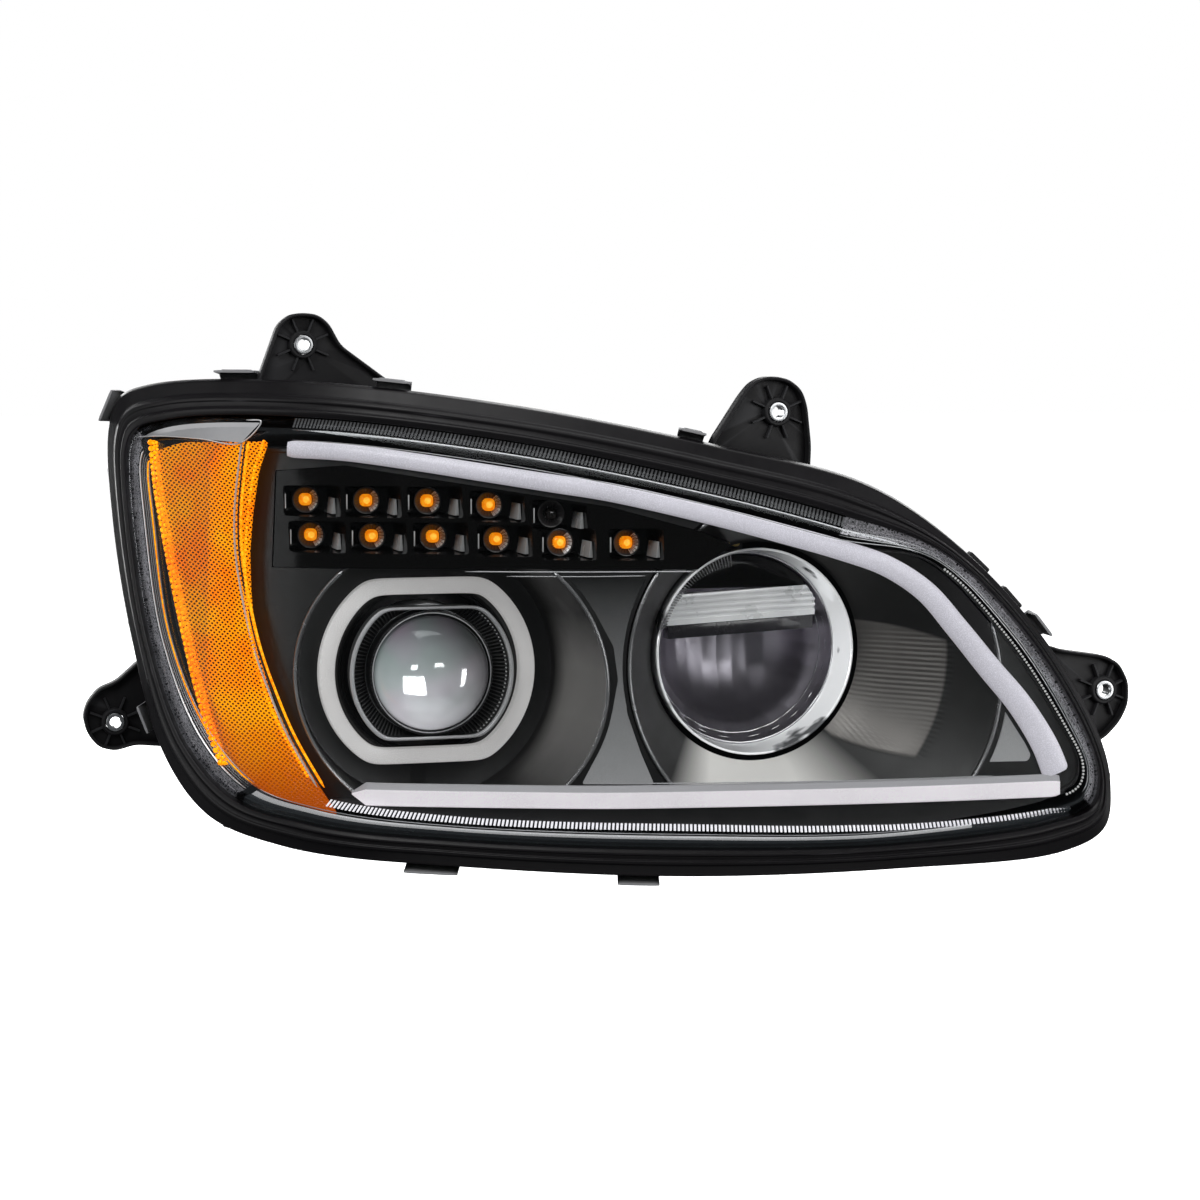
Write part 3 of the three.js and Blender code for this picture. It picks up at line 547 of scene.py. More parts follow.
# ------------------------------------------------------------------ rim, seal, lens
RIM_WIDTH = 22.0  # millimetres from the housing's edge to the lens's edge
SEAL_SECTION = [
    (0.985, 9), (0.86, 7.6), (0.8, 7.5), (0.76, 10), (0.62, 10.2), (0.58, 9.2), (0.5, 9.3), (0.46, 10.5),
    (0.41, 13.5), (0.06, 15), (0, 19), (0, 30), (0.3, 30), (0.985, 24),
]
LENS_OUTSIDE = [(2, 0), (1.6, 0.6), (1.3, 3), (1.1, 7), (1.02, 13), (1.02, 30)]
LENS_THICK = 3
LENS_INSIDE = [(1.16, 30), (1.17, 14), (1.26, 9.5), (1.42, 6), (1.68, 3.6), (2.05, LENS_THICK)]
BACK_AT, BACK_SLOPE = 112, -0.08
INWARDS = np.linspace(0.06, 1, 17)


def tip(depth):
    return np.array([FACE_CENTRE[0], depth(*FACE_CENTRE), FACE_CENTRE[1]])


# How far in from the housing's edge the seal ends, by place round the outline.
SEAL_PLACES = [0, 1, 2, 3, 4, 5, 6, 7, 8, 10, 11, 12, 13, 15, 16, 17, 18, 19, 20, 21]
SEAL_SHARES = [
    0.75, 0.85, 0.95, 0.95, 0.93, 0.95, 0.94, 0.85, 0.7, 0.72,
    0.9, 1.04, 1.06, 1.06, 1, 0.88, 0.74, 0.68, 0.68, 0.75,
]
SEAL_REACH = np.interp(np.arange(RIM_STEPS) / EDGE_STEPS, SEAL_PLACES, SEAL_SHARES)
SETTLED = 1.9  # from here inwards the border keeps its even spacing


def eased(across):
    """Shares across the rim, moved so that the seal and the lens border meet along SEAL_REACH."""
    across = np.asarray(across, float)
    inner = across + (SEAL_REACH - 1) * np.clip((SETTLED - across) / (SETTLED - 1), 0, 1)
    return np.where(across < 1, across * SEAL_REACH, inner)


def section_loops(section, radius=0.0, ease=True):
    points = [(a * RIM_WIDTH, o) for a, o in section]
    if radius:
        points = rounded(points, radius, 3)
    return [loop(eased(a / RIM_WIDTH) if ease else a / RIM_WIDTH, behind(o)) for a, o in points]


def round_loops(loops, share=0.35, steps=4):
    """Round off the corner at every inner loop of a run."""
    out = [loops[0]]
    for before, corner, after in zip(loops, loops[1:], loops[2:]):
        a, b = corner + (before - corner) * share, corner + (after - corner) * share
        for s in range(steps + 1):
            t = s / steps
            out.append(a * (1 - t) ** 2 + corner * 2 * t * (1 - t) + b * t * t)
    return out + [loops[-1]]


def slab(front, back, across):
    """A sheet between two surfaces, filling the lamp's outline up to `across`."""
    loops = [loop(across, front, f) for f in INWARDS] + [loop(across, back, f) for f in INWARDS[::-1]]
    return swept_shape(skin(loops, first_tip=tip(front), last_tip=tip(back)))


def column(outline, back=300):
    """A post of a given outline in X and Z through the lamp's face, as a tool."""
    return loose(*swept_shape(prism(outline, -200, back)))


def face_sheet(outline, front, back, across, depth=300):
    """A sheet between two offsets behind the lens, cut to an outline in X and Z."""
    sheet = loose(*slab(behind(front), behind(back), across))
    return cut_by(sheet, [column(outline, depth)], "INTERSECT")


def seal():
    shape = swept_shape(skin(section_loops(SEAL_SECTION, 0.9), ring=True))
    piece("perimeter_seal_moulded", shape, "seal", "perimeter_seal", sharp=math.radians(60))


def outer_lens():
    front, back = behind(0), behind(LENS_THICK)
    outside = round_loops([loop(2, front, 0.97)] + section_loops(LENS_OUTSIDE), 0.42)[1:]
    inside = round_loops(section_loops(LENS_INSIDE) + [loop(2.05, back, 0.97)], 0.42)[:-1]
    loops = [loop(2, front, f) for f in INWARDS[:-1]] + outside
    loops += inside + [loop(2.05, back, f) for f in INWARDS[-2::-1]]
    shape = swept_shape(skin(loops, first_tip=tip(front), last_tip=tip(back)))
    return piece("outer_lens_clear", shape, "lens", "outer_lens", sharp=math.radians(70))


def lens_inside(across):
    """Offset of the lens's inner face, by place across the rim."""
    return np.interp(across, *zip(*LENS_INSIDE))


def resampled(points, pitch, closed=True):
    """Even steps along a polyline."""
    p = np.vstack([points, points[:1]]) if closed else np.asarray(points, float)
    run = np.r_[0, np.cumsum(np.linalg.norm(np.diff(p, axis=0), axis=1))]
    count = max(2, int(round(run[-1] / pitch)))
    s = np.arange(count) * run[-1] / count if closed else np.linspace(0, run[-1], count + 1)
    return np.column_stack([np.interp(s, run, p[:, i]) for i in range(p.shape[1])])


STRIP_DROP, STRIP_THICK, STRIP_LINES = 0.4, 0.8, 9  # bands: gap behind the lens, thickness, lines across
LINE_DROP = 0.5  # gap from the lens to the middle of a bead
# Corners 0 to 3 are a tooth's top, 4 to 7 its foot, 8 and 9 the ends of its ridge.
TOOTH_FACES = [
    (0, 8, 9, 3), (8, 1, 2, 9), (4, 7, 6, 5), (0, 3, 7, 4), (1, 5, 6, 2), (0, 4, 5, 1, 8), (3, 9, 2, 6, 7),
]


def border_line(across, drop, first=0, last=RIM_STEPS):
    """A line behind the lens border, between two steps round the rim."""
    line = loop(eased(across), behind(lens_inside(across) + drop))
    return line[np.arange(first, last + 1) % RIM_STEPS]


def border_strip(first, last, a0, a1):
    """A smooth band behind the lens border between two steps round the rim."""
    lines = [border_line(a, STRIP_DROP, first, last) for a in np.linspace(a0, a1, STRIP_LINES)]
    front = np.array(lines).transpose(1, 0, 2)
    loops = np.concatenate([front, front[:, ::-1] + (0, STRIP_THICK, 0)], axis=1)
    return swept_shape(skin(list(loops)))


TOOTH_SHARE = 0.55  # of its pitch that a tooth of the border fills


def border_teeth_row(first, last, a0, a1, pitch, thick):
    """Small ridged teeth side by side behind the lens border."""
    lines = np.hstack([border_line(a, STRIP_DROP, first, last) for a in (a0, a1)])
    places = resampled(lines, pitch * math.sqrt(2), closed=False)
    deep = np.array([0, thick, 0])
    parts = []
    for p, q in zip(places, places[1:]):
        step = (q - p) * TOOTH_SHARE
        corners = [p[:3], p[:3] + step[:3], p[3:] + step[3:], p[3:]]
        ridge = [(corners[0] + corners[1]) / 2 - deep * 0.3, (corners[2] + corners[3]) / 2 - deep * 0.3]
        parts.append((np.array(corners + [c + deep for c in corners] + ridge), TOOTH_FACES))
    return swept_shape(joined(*parts))


def dots(places, radius, section):
    """Little domes with eight sides; the section lists (depth, share of the radius) from the foot up."""
    turn = full_turn(8)
    domes = []
    for x, y, z in places:
        domes.append(skin([round_loop(turn, radius * share, y + lift, x, z) for lift, share in section]))
    return swept_shape(joined(*domes))


def border_dots(first, last, across, pitch, radius):
    """A row of little domes behind the lens border."""
    places = resampled(border_line(across, LINE_DROP, first, last), pitch, closed=False)
    return dots(places, radius, ((0.6, 1.0), (0.0, 0.95), (-0.4, 0.7)))


def border_bead(across, radius, first, last):
    return tube(swept(border_line(across, LINE_DROP, first, last)), radius)


BROW = [
    (-329, 107.5), (-315, 111.5), (-276, 115), (-241, 115.5), (-230, 114.5), (-244.5, 100), (-276, 102.3),
    (-308, 103.6), (-328, 102.5),
]


def border_piece(name, look, *parts):
    piece(name, joined(*parts), look)


def lens_border():
    """What shows through the lens along its edge: mesh bands, teeth, dots and bright lines."""
    # Where the stretches begin and end, counted in places round the outline.
    top, top_end, right, right_end = 47, 7 * EDGE_STEPS, 6 * EDGE_STEPS, 11 * EDGE_STEPS
    low_right, low_mid, low_left = (int(place * EDGE_STEPS) for place in (11.6, 12.6, 16.9))
    left, left_end = 17 * EDGE_STEPS, RIM_STEPS + 14
    place = np.arange(RIM_STEPS) / EDGE_STEPS
    rise = np.clip((13.2 - place) / 1.7, 0, 1)  # the lower rows draw outwards near the inboard corner

    border_piece("border_mesh_right", "mesh", border_strip(right, right_end, 1.02, 1.42))
    border_piece("border_mesh_left", "mesh", border_strip(left, left_end, 1.02, 1.36))
    border_piece("border_teeth_top", "teeth", border_teeth_row(top, right + 6, 1.04, 1.25, 2.6, 1.2))
    bottom_teeth = border_teeth_row(
        low_right, int(15.95 * EDGE_STEPS), 1.74 - 0.62 * rise, 1.98 - 0.72 * rise, 2.7, 1.6)
    border_piece("border_teeth_bottom", "teeth", bottom_teeth)
    right_dots = border_dots(int(7.2 * EDGE_STEPS), int(11.5 * EDGE_STEPS), 1.76, 2.3, 0.85)
    border_piece("border_dots_right", "dots", right_dots)
    # Painted reflection: a dark grey strip behind the lens's curved lower edge stands in for the sheen that
    # edge shows.
    border_piece("border_flank_bottom", "flank", border_strip(low_right, low_left, 1.02, 1.36))
    border_piece("border_band_bottom", "band", border_strip(low_mid, low_left, 1.37, 1.52))
    fine = [
        border_bead(1.31, 0.35, top, top_end), border_bead(1.56, 0.3, top, right_end),
        border_bead(1.46, 0.3, right, right_end), border_bead(1.42, 0.8, left, left_end),
        border_bead(1.6, 0.3, low_mid, low_left),
    ]
    border_piece("border_lines", "lip_bright", *fine)
    ribs = [border_bead(across, 0.42, left, left_end) for across in (1.49, 1.54, 1.59, 1.67)]
    border_piece("border_ribs_left", "lip", *ribs)
    border_piece("border_glow_left", "amber_bead", border_bead(1.63, 0.55, left, left_end))

    # Painted reflection: a grey sheet just behind the lens's upper flank, with a bright bead along its edge
    # as a painted highlight.
    brow = face_sheet(soft_outline(BROW, 1.5), 3.6, 4.6, 1.12)
    finished(brow, "lens_brow", "brow")
    edge = spline(on_lens(BROW[3:], 3.4), 8, False)
    border_piece("lens_brow_edge", "lip_bright", tube(edge, 0.5))


# ------------------------------------------------------------------ housing
# Each beam unit: its axis, the depth of its trunnions and the length of its arm, the rear dome's radius and
# end, and where its aiming screw's head sits.
LOW = dict(x=-117, z=-56.5, pivot=60, arm=72, dome=60, end=195, screw=170)
HIGH = dict(x=95.5, z=-42, pivot=0, arm=72, dome=56, end=116, screw=94)
# Each lug: its bolt's place in X and Z, the depth of its front face and its outline.
LUGS = {
    "upper_outboard": ((-192, 167), 80, [
        (-228, 120), (-224, 143), (-210, 181), (-201, 188), (-192, 189), (-182, 188), (-174, 182),
        (-166, 167), (-129, 140), (-126, 120)]),
    "upper_inboard": ((111, 121), -47, [
        (60, 88), (64, 102), (85, 133), (92, 141), (101, 145), (110, 145), (119, 143), (128, 136),
        (132, 125), (135, 98), (134, 74)]),
    "inboard": ((327, -69), -109, [
        (282, -36), (294, -40), (327, -45), (338, -51), (345, -64), (345, -79), (339, -91),
        (328, -102), (304, -112)]),
    "outboard": ((-317, -104), 172, [
        (-298, -58), (-316, -74), (-329, -79), (-337, -89), (-340, -99), (-337, -112), (-329, -122),
        (-317, -125), (-303, -121), (-274, -124), (-270, -70)]),
}
BOSS, BUSH, BORE, PAD = 9.5, 6.5, 4, 15  # radii of a lug's boss, its bushing, the bore and the rear pad
PLATE, WALL = 4, 10  # thickness of a lug's plate, height of its edge


def inset(outline, by):
    """Move each corner of an outline inwards along the bisector of its two sides."""
    p = np.asarray(outline, float)
    nxt, prv = np.roll(p, -1, 0), np.roll(p, 1, 0)
    turn = np.sign(np.sum(p[:, 0] * nxt[:, 1] - nxt[:, 0] * p[:, 1]))
    unit = lambda v: v / np.linalg.norm(v, axis=1)[:, None]
    before, after = unit(p - prv), unit(nxt - p)
    normal = unit(np.column_stack([-before[:, 1] - after[:, 1], before[:, 0] + after[:, 0]]))
    spread = np.maximum(0.4, np.sum(normal * np.column_stack([-after[:, 1], after[:, 0]]), axis=1))
    return p + normal * (turn * by / spread)[:, None]


def soft_outline(outline, radius, steps=4):
    return np.array(rounded(outline, radius, steps))


def raised_edge(outline, width, y0, y1):
    """A rounded rib of the given width standing along the inside of a closed outline."""
    r = width / 2
    section = [(0, y1), (0, y0 + r), (r * 0.3, y0 + r * 0.3), (r, y0), (width - r * 0.3, y0 + r * 0.3),
               (width, y0 + r), (width, y1)]
    return skin([flat_loop(inset(outline, by), y) for by, y in section], ring=True)


def wall(p, q, width, p_section, q_section):
    """A wall between two points in X and Z; each section lists (share of the half width, y)."""
    p, q = np.array(p, float), np.array(q, float)
    along = (q - p) / np.linalg.norm(q - p)
    side = np.array([-along[1], along[0]]) * width / 2
    loops = []
    for end, section in ((p, p_section), (q, q_section)):
        row = [(end[0] + side[0] * share, y, end[1] + side[1] * share) for share, y in section]
        loops.append(np.array(row))
    return skin(loops)


def rib(p, q, y0, y1, width):
    """A wall with a rounded top."""
    section = [(1, y1), (1, y0 + 0.5), (0.6, y0), (-0.6, y0), (-1, y0 + 0.5), (-1, y1)]
    return wall(p, q, width, section, section)


def spokes(count, near, far, y0, y1, width, x, z, start=0.0):
    """Equal ribs standing radially round an axis along Y."""
    ribs = []
    for angle in start + full_turn(count):
        ribs.append(rib(at_angle(angle, near, x, z), at_angle(angle, far, x, z), y0, y1, width))
    return ribs


def lug_reach(angle, x, z, outline):
    """How far a lug's radial rib can run before it leaves the outline."""
    reach, least, step = 19.0, 10, 0.5
    while reach > least and not inside_outline(at_angle(angle, reach, x, z), outline):
        reach -= step
    return reach


def lug(hole, y, outline):
    """A lug's flat plate, and everything that stands on it."""
    x, z = hole
    back, seat = y + PLATE, BUSH + 0.3
    shape = soft_outline(outline, 5)
    base = loose(*prism(shape, y, back))
    cut_by(base, [loose(*turned([(0, y - 9), (seat, y - 9), (seat, y + 9), (0, y + 9)], 48, x, z))])
    bevelled(base, 0.5)
    boss = [(seat, y - 4.4), (BUSH + 0.9, y - 5), (BOSS - 0.8, y - 5), (BOSS, y - 4.2), (BOSS + 0.6, y + 1),
            (seat, y + 1)]
    pad = [(seat, y + 1), (PAD, y + 1), (PAD, back + 1.5), (PAD - 0.6, back + 2), (seat, back + 2)]
    parts = [raised_edge(shape, 2.4, back - WALL, back - 1), turned(boss, 48, x, z), turned(pad, 64, x, z)]
    corners = [tuple(p) for p in shape]
    for i in range(8):
        angle = math.radians(i * 45 + 22.5)
        start = at_angle(angle, BOSS - 0.5, x, z)
        end = at_angle(angle, lug_reach(angle, x, z, corners), x, z)
        parts.append(rib(start, end, y - 3.5, y + 1, 1.5))
    return [base, loose(*joined(*parts))]


def inside_outline(point, outline):
    x, z = point
    inside = False
    for (x0, z0), (x1, z1) in zip(outline, list(outline[1:]) + [outline[0]]):
        if (z0 > z) != (z1 > z) and x < (x1 - x0) * (z - z0) / (z1 - z0) + x0:
            inside = not inside
    return inside


def merged(objects):
    """Several loose objects as one."""
    bm = bmesh.new()
    for obj in objects:
        bm.from_mesh(obj.data)
        bpy.data.objects.remove(obj)
    mesh = bpy.data.meshes.new("merged")
    bm.to_mesh(mesh)
    bm.free()
    return new_object("merged", mesh)


def back_plane(inward):
    return lambda x, z: BACK_AT + BACK_SLOPE * x - inward


def tub(inward, across, front):
    """The housing's body, `inward` millimetres inside its outer faces."""
    back, shoulder = back_plane(inward), behind(44)
    thinner = inward / 24
    between = lambda share: lambda x, z: shoulder(x, z) * (1 - share) + back(x, z) * share
    loops = [
        loop(across, behind(front)), loop(across, behind(40 - inward)), loop(0.14 + thinner, shoulder),
        loop(0.3 + thinner, between(0.5)), loop(0.55 + thinner, between(0.9)), loop(1.0 + thinner, back),
        loop(1.0 + thinner, back, 0.9),
    ]
    return swept_shape(skin(round_loops(loops, 0.3, 3)))


def dome(unit):
    r, end = unit["dome"], unit["end"]
    mouth = 46
    outside = [
        (mouth, end - 3), (mouth, end - 0.6), (mouth + 0.6, end), (r - 3, end),
        (r, end - 3), (r, 30), (r - 3, 30), (r - 3, end - 3),
    ]
    return turned(rounded(outside, 1.5, 3), 128, unit["x"], unit["z"])


# Latch ramps and clips: the place round the outline and half the length of each.
RAMPS = [(7.2, 9), (7.6, 9), (10.2, 12), (13.2, 16), (13.7, 9), (16.6, 9), (19.0, 9), (20.4, 9), (20.75, 6)]
CLIPS = [(0.6, 12), (2.62, 14), (3.42, 12), (4.85, 9), (7.9, 9), (14.17, 14), (15.05, 18), (18.3, 10)]


def rim_frame(place):
    """A point on the housing's edge, with the directions along it and outwards, and its depth."""
    i = place * EDGE_STEPS
    a, b = HOUSING_LINE[int(i) % RIM_STEPS], HOUSING_LINE[(int(i) + 1) % RIM_STEPS]
    p = a + (b - a) * (i - int(i))
    along = (b - a) / np.linalg.norm(b - a)
    return p, along, np.array([-along[1], along[0]]), lens_depth(*p)


def rim_box(place, start, end, low, high, front, back):
    """A box on the housing's edge: along it from start to end, and from low to high outwards."""
    p, along, out, depth = rim_frame(place)
    verts, faces = box_part(start, end, depth + front, depth + back, low, high)
    xz = p + verts[:, :1] * along + verts[:, 2:] * out
    return np.column_stack([xz[:, 0], verts[:, 1], xz[:, 1]]), faces


def screw_seat(unit):
    top = unit["screw"]
    profile = [(4.2, top - 35), (8, top - 35), (8, top - 0.8), (7.2, top), (4.2, top)]
    return turned(profile, 40, unit["x"], unit["z"] + unit["arm"])


def dome_bore(unit):
    r = unit["dome"] - 3
    return turned([(0, 20), (r, 20), (r, 190), (0, 190)], 128, unit["x"], unit["z"])


def housing():
    shell = loose(*tub(0, 0.02, 31))
    hollow = loose(*tub(3, 0.9, -40))
    room = skin(section_loops([(1.2, -30), (-0.2, -30), (-0.2, 30.4), (1.2, 30.4)]), ring=True)
    bores = [loose(*dome_bore(unit)) for unit in (LOW, HIGH)]
    socket = loose(*box_part(-24.3, 4.3, 80, 170, -104.3, -85.7))
    cut_by(shell, [hollow, *bores, loose(*swept_shape(room)), socket])
    pieces = [shell]
    for hole, y, outline in LUGS.values():
        pieces += lug(hole, y, outline)
    for unit in (LOW, HIGH):
        pieces += [loose(*dome(unit)), loose(*screw_seat(unit))]
    for place, half in RAMPS:
        ramp_block = loose(*swept_shape(rim_box(place, -half, half, -3, 3.5, 36, 48)))
        pieces.append(bevelled(ramp_block, 1.2, 3))
    finished(merged(pieces), "housing_moulded", "housing", "housing_shell")


# A clip's folded strip, as (outwards, behind the lens) round its section.
CLIP_SECTION = [
    (6, 16), (6, 49.2), (5.2, 50), (0.3, 50), (-0.5, 49.2), (-0.5, 48.2), (3.4, 48.2), (4.3, 47.2), (4.3, 16),
]
# The frame raised on a clip's leg: shares of half its length, then depths behind the lens.
CLIP_FRAME = [(-0.6, 0.6, 22, 24), (-0.6, 0.6, 36, 38), (-0.66, -0.54, 22, 38), (0.54, 0.66, 22, 38)]


def clip_strip(place, half):
    p, along, out, depth = rim_frame(place)
    loops = []
    for s in np.linspace(-half, half, 9):
        shrink = 0.0 if abs(s) < half * 0.99 else 0.25  # the two ends are eased
        row = []
        for o, y in CLIP_SECTION:
            xz = p + along * s + out * (o - shrink * (1 if o > 5 else -1))
            row.append((xz[0], depth + y + (shrink if y < 20 else -shrink), xz[1]))
        loops.append(np.array(row))
    return skin(loops)


def clips():
    for i, (place, half) in enumerate(CLIPS, 1):
        parts = [clip_strip(place, half)]
        parts += [rim_box(place, s0 * half, s1 * half, 5.9, 6.5, y0, y1) for s0, s1, y0, y1 in CLIP_FRAME]
        piece(f"lens_clip_{i}_formed", swept_shape(joined(*parts)), "clip", f"lens_clip_{i}")


def bushings():
    for name, (hole, y, _) in LUGS.items():
        front, back = y - 5.5, y + 5.7
        profile = rounded([(BORE, front), (BUSH, front), (BUSH, back), (BORE, back)], 0.5, 3)
        piece(f"bushing_{name}_turned", turned(profile, 64, *hole), "steel", f"bushing_{name}")


# ------------------------------------------------------------------ bezel and bays
PANEL = [
    (-221, 81), (-172, 85), (-125, 78), (-78, 71), (-32, 64), (7, 58), (67, 42), (88, 33), (67, 17),
    (-67, 17), (-223, 16),
]
AMBER = [
    (-319, 99), (-313, 62), (-303, 18), (-295.5, -13), (-283, -60), (-272, -94), (-262, -118), (-246, -133),
    (-210, -143), (-175, -147), (-193, -122), (-208, -98), (-220, -75), (-229, -50), (-235, -20), (-237, -1),
    (-238, 26), (-236, 52), (-232, 80), (-225, 101),
]
UPPER_BAR = [
    (-212, 96), (-171, 94), (-124, 88), (-78, 81), (-32, 74), (7, 68), (70, 54), (124, 40), (163, 29),
    (191, 19), (217, 2), (238, -22), (260, -49), (281, -74), (298, -101), (306, -120),
]
LOWER_BAR = [(-166, -133), (-70, -133), (7, -133), (70, -132), (200, -130), (308, -128)]
# Each bay is a cone: its radius at the floor, the floor's depth, its slope and how far forward it runs.
LOW_BAY = dict(throat=90, floor=28, slope=0.12, front=-110)
HIGH_BAY = dict(throat=75, floor=-51, slope=0.93, front=-150)
BEZEL_AT = 16  # the bezel's face behind the lens
GAP = 0.3  # clearance round the turn panel


def bay_radius(bay, y):
    return bay["throat"] + bay["slope"] * (bay["floor"] - y)


def bay_block(unit, bay, margin):
    """A bay's cone grown by a margin, as a tool."""
    back = bay["floor"] + 3
    profile = [(0, bay["front"]), (bay_radius(bay, bay["front"]) + margin, bay["front"]),
               (bay["throat"] + margin, back), (0, back)]
    return loose(*turned(profile, 160, unit["x"], unit["z"]))


def both_bays(margin):
    return [bay_block(LOW, LOW_BAY, margin), bay_block(HIGH, HIGH_BAY, margin)]


def panel_block(margin):
    """The turn panel's outline grown by a margin, as a tool."""
    return loose(*swept_shape(prism(inset(PANEL, -margin), -140, 140)))


def mouth_line(unit, bay, offset, spare):
    """Where a bay's cone meets the surface a given offset behind the lens, in the vehicle frame."""
    turn = full_turn(720)
    y = np.full(len(turn), -60.0)
    for _ in range(40):
        line = round_loop(turn, bay_radius(bay, y) + spare, y, unit["x"], unit["z"])
        x, depth, z = unswept(line).T
        y = y + (lens_depth(x, z) + offset - depth) * 0.5
    return line


TUBE_SIDES = 10


def tube(path, radius):
    """A thin bead along a path, narrowed at both ends."""
    p = np.asarray(path, float)
    ahead, back = np.roll(p, -1, 0), np.roll(p, 1, 0)
    ahead[-1], back[0] = p[-1], p[0]
    along = ahead - back
    along /= np.linalg.norm(along, axis=1)[:, None]
    side = np.cross(along, (0.0, -1.0, 0.0))
    side /= np.linalg.norm(side, axis=1)[:, None]
    out = np.cross(side, along)
    turn = full_turn(TUBE_SIDES)[:, None]
    loops = []
    for i in range(len(p)):
        r = radius * min(1, 0.25 + min(i, len(p) - 1 - i) * 0.25)
        loops.append(p[i] + r * (np.cos(turn) * side[i] + np.sin(turn) * out[i]))
    return skin(loops)


def runs_where(points, keep):
    """Split a closed line of points into the runs where `keep` holds."""
    n = len(points)
    if all(keep):
        return [points]
    start = next(i for i in range(n) if not keep[i])
    runs, run = [], []
    for k in range(1, n + 1):
        i = (start + k) % n
        if keep[i]:
            run.append(points[i])
        elif run:
            runs.append(np.array(run))
            run = []
    if run:
        runs.append(np.array(run))
    return [r for r in runs if len(r) > 6]


def lip_runs(unit, bay, other, other_bay, spare):
    """The parts of a bay's mouth that show: inside the rim, clear of the turn panel and the other bay."""
    line = mouth_line(unit, bay, BEZEL_AT - 0.3, spare)
    edge = [tuple(p) for p in rim(1.9)]
    panel = [tuple(p) for p in inset(PANEL, -1.5)]
    keep = []
    for (x, y, z), (flat_x, _, flat_z) in zip(line, unswept(line)):
        flat = (flat_x, flat_z)
        clear = math.hypot(x - other["x"], z - other["z"]) > bay_radius(other_bay, y) + 3
        keep.append(inside_outline(flat, edge) and not inside_outline(flat, panel) and clear)
    return runs_where(line, keep)


def finished_bay(shape, name, look, node):
    """Trim a bay to the back of the bezel and round the turn panel."""
    bay = loose(*shape)
    cut_by(bay, [loose(*slab(behind(BEZEL_AT + 0.2), behind(220), 1.98))], "INTERSECT")
    cut_by(bay, [panel_block(GAP)])
    finished(bay, name, look, node)


def low_bay():
    floor_y, throat, front = LOW_BAY["floor"], LOW_BAY["throat"], LOW_BAY["front"]
    mouth, hole, wall_thick = bay_radius(LOW_BAY, front), 60, 2
    steps = np.linspace(0, 1, 26)
    inner = [(throat + (mouth - throat) * t, floor_y + (front - floor_y) * t) for t in steps]
    outer = [(r + wall_thick, y) for r, y in inner[::-1]]
    profile = [(hole, floor_y), (hole + 2, floor_y - 0.8), (hole + 4, floor_y)]  # a bead round the hole
    profile += [(throat - 3, floor_y), (throat - 0.8, floor_y - 0.8)]
    profile += inner[1:] + outer[:-1] + [(throat + wall_thick, floor_y + 2), (hole, floor_y + 2)]
    shape = turned(profile, 192, LOW["x"], LOW["z"])
    finished_bay(shape, "low_beam_bay_moulded", "bay_low", "low_beam_bay")


FLUTE_DEPTH, FLUTE_PITCH = 0.9, 3.4


def flutes(turn, r, t):
    """Flutes on the high bay's inboard flank, between two rising lines and fading at the floor."""
    degrees = (np.degrees(turn) + 180) % 360 - 180
    lowest, highest = np.interp(r, (80, 120), (-48, -36)), np.interp(r, (75, 133), (16, 1.7))
    sector = np.clip(np.minimum(degrees - lowest, highest - degrees) / 1.2, 0, 1)
    wave = FLUTE_DEPTH * (0.5 + 0.5 * np.cos((r * np.radians(degrees)) * 2 * math.pi / FLUTE_PITCH))
    return sector * wave * min(1, t * 8) * np.clip((120.5 - r) / 1.5, 0, 1)


def high_bay():
    floor_y, front, wall_thick = HIGH_BAY["floor"], HIGH_BAY["front"], 2
    turn = full_turn(1080)
    loops = []
    for t in np.linspace(0, 1, 30):
        y = floor_y + (front - floor_y) * t
        r = bay_radius(HIGH_BAY, y)
        loops.append(round_loop(turn, r + flutes(turn, r, t), y, HIGH["x"], HIGH["z"]))
    for y in (front, floor_y):
        loops.append(round_loop(turn, bay_radius(HIGH_BAY, y) + wall_thick, y, HIGH["x"], HIGH["z"]))
    shape = skin(loops, ring=True)
    finished_bay(shape, "high_beam_bay_moulded", "bay_high", "high_beam_bay")


def bay_lips():
    lips = []
    for unit, bay, other, other_bay in ((LOW, LOW_BAY, HIGH, HIGH_BAY), (HIGH, HIGH_BAY, LOW, LOW_BAY)):
        lips += [tube(run, 1.3) for run in lip_runs(unit, bay, other, other_bay, 1.2)]
    piece("bay_lips", joined(*lips), "lip")


def main_bezel():
    face = loose(*slab(behind(BEZEL_AT), behind(BEZEL_AT + 2.5), 1.78))
    cut_by(face, [*both_bays(2.3), panel_block(GAP)])
    wall_section = [
        (1.75, 16.4), (1.755, 16), (1.79, 15.2), (1.86, 15.2), (1.895, 16), (1.9, 16.4), (1.9, 44),
        (1.75, 44),
    ]
    wall_ring = loose(*swept_shape(skin(section_loops(wall_section, ease=False), ring=True)))
    finished(merged([face, wall_ring]), "main_bezel_moulded", "bezel", "main_bezel")


def valance():
    """A plain black face below the lower light bar, over the bays' lower lips."""
    below = [(-160, -137), (70, -137), (200, -134.5), (312, -132), (340, -190), (-240, -190), (-190, -137)]
    patch = face_sheet(below, BEZEL_AT - 1.6, BEZEL_AT - 0.6, 1.72)
    finished(patch, "lower_valance", "bezel")


# Satin fields let into the bezel: one between the two bays, one in the inner lower corner.
SATIN_FIELDS = {
    "middle": [
        (-27, 11), (46, 11), (32, -6), (21, -30), (16, -50), (18, -78), (27, -104), (36, -125), (-12, -125),
        (0, -102), (8, -78), (12, -56), (9, -34), (-4, -10),
    ],
    "inner": [(258, -58), (285, -100), (289, -108), (287, -112), (240, -112), (246, -96), (252, -76)],
}


def satin_fields():
    for name, outline in SATIN_FIELDS.items():
        patch = face_sheet(soft_outline(outline, 2.0), BEZEL_AT - 0.5, BEZEL_AT + 0.5, 1.7, depth=200)
        cut_by(patch, both_bays(5))
        finished(patch, f"satin_field_{name}", "satin")


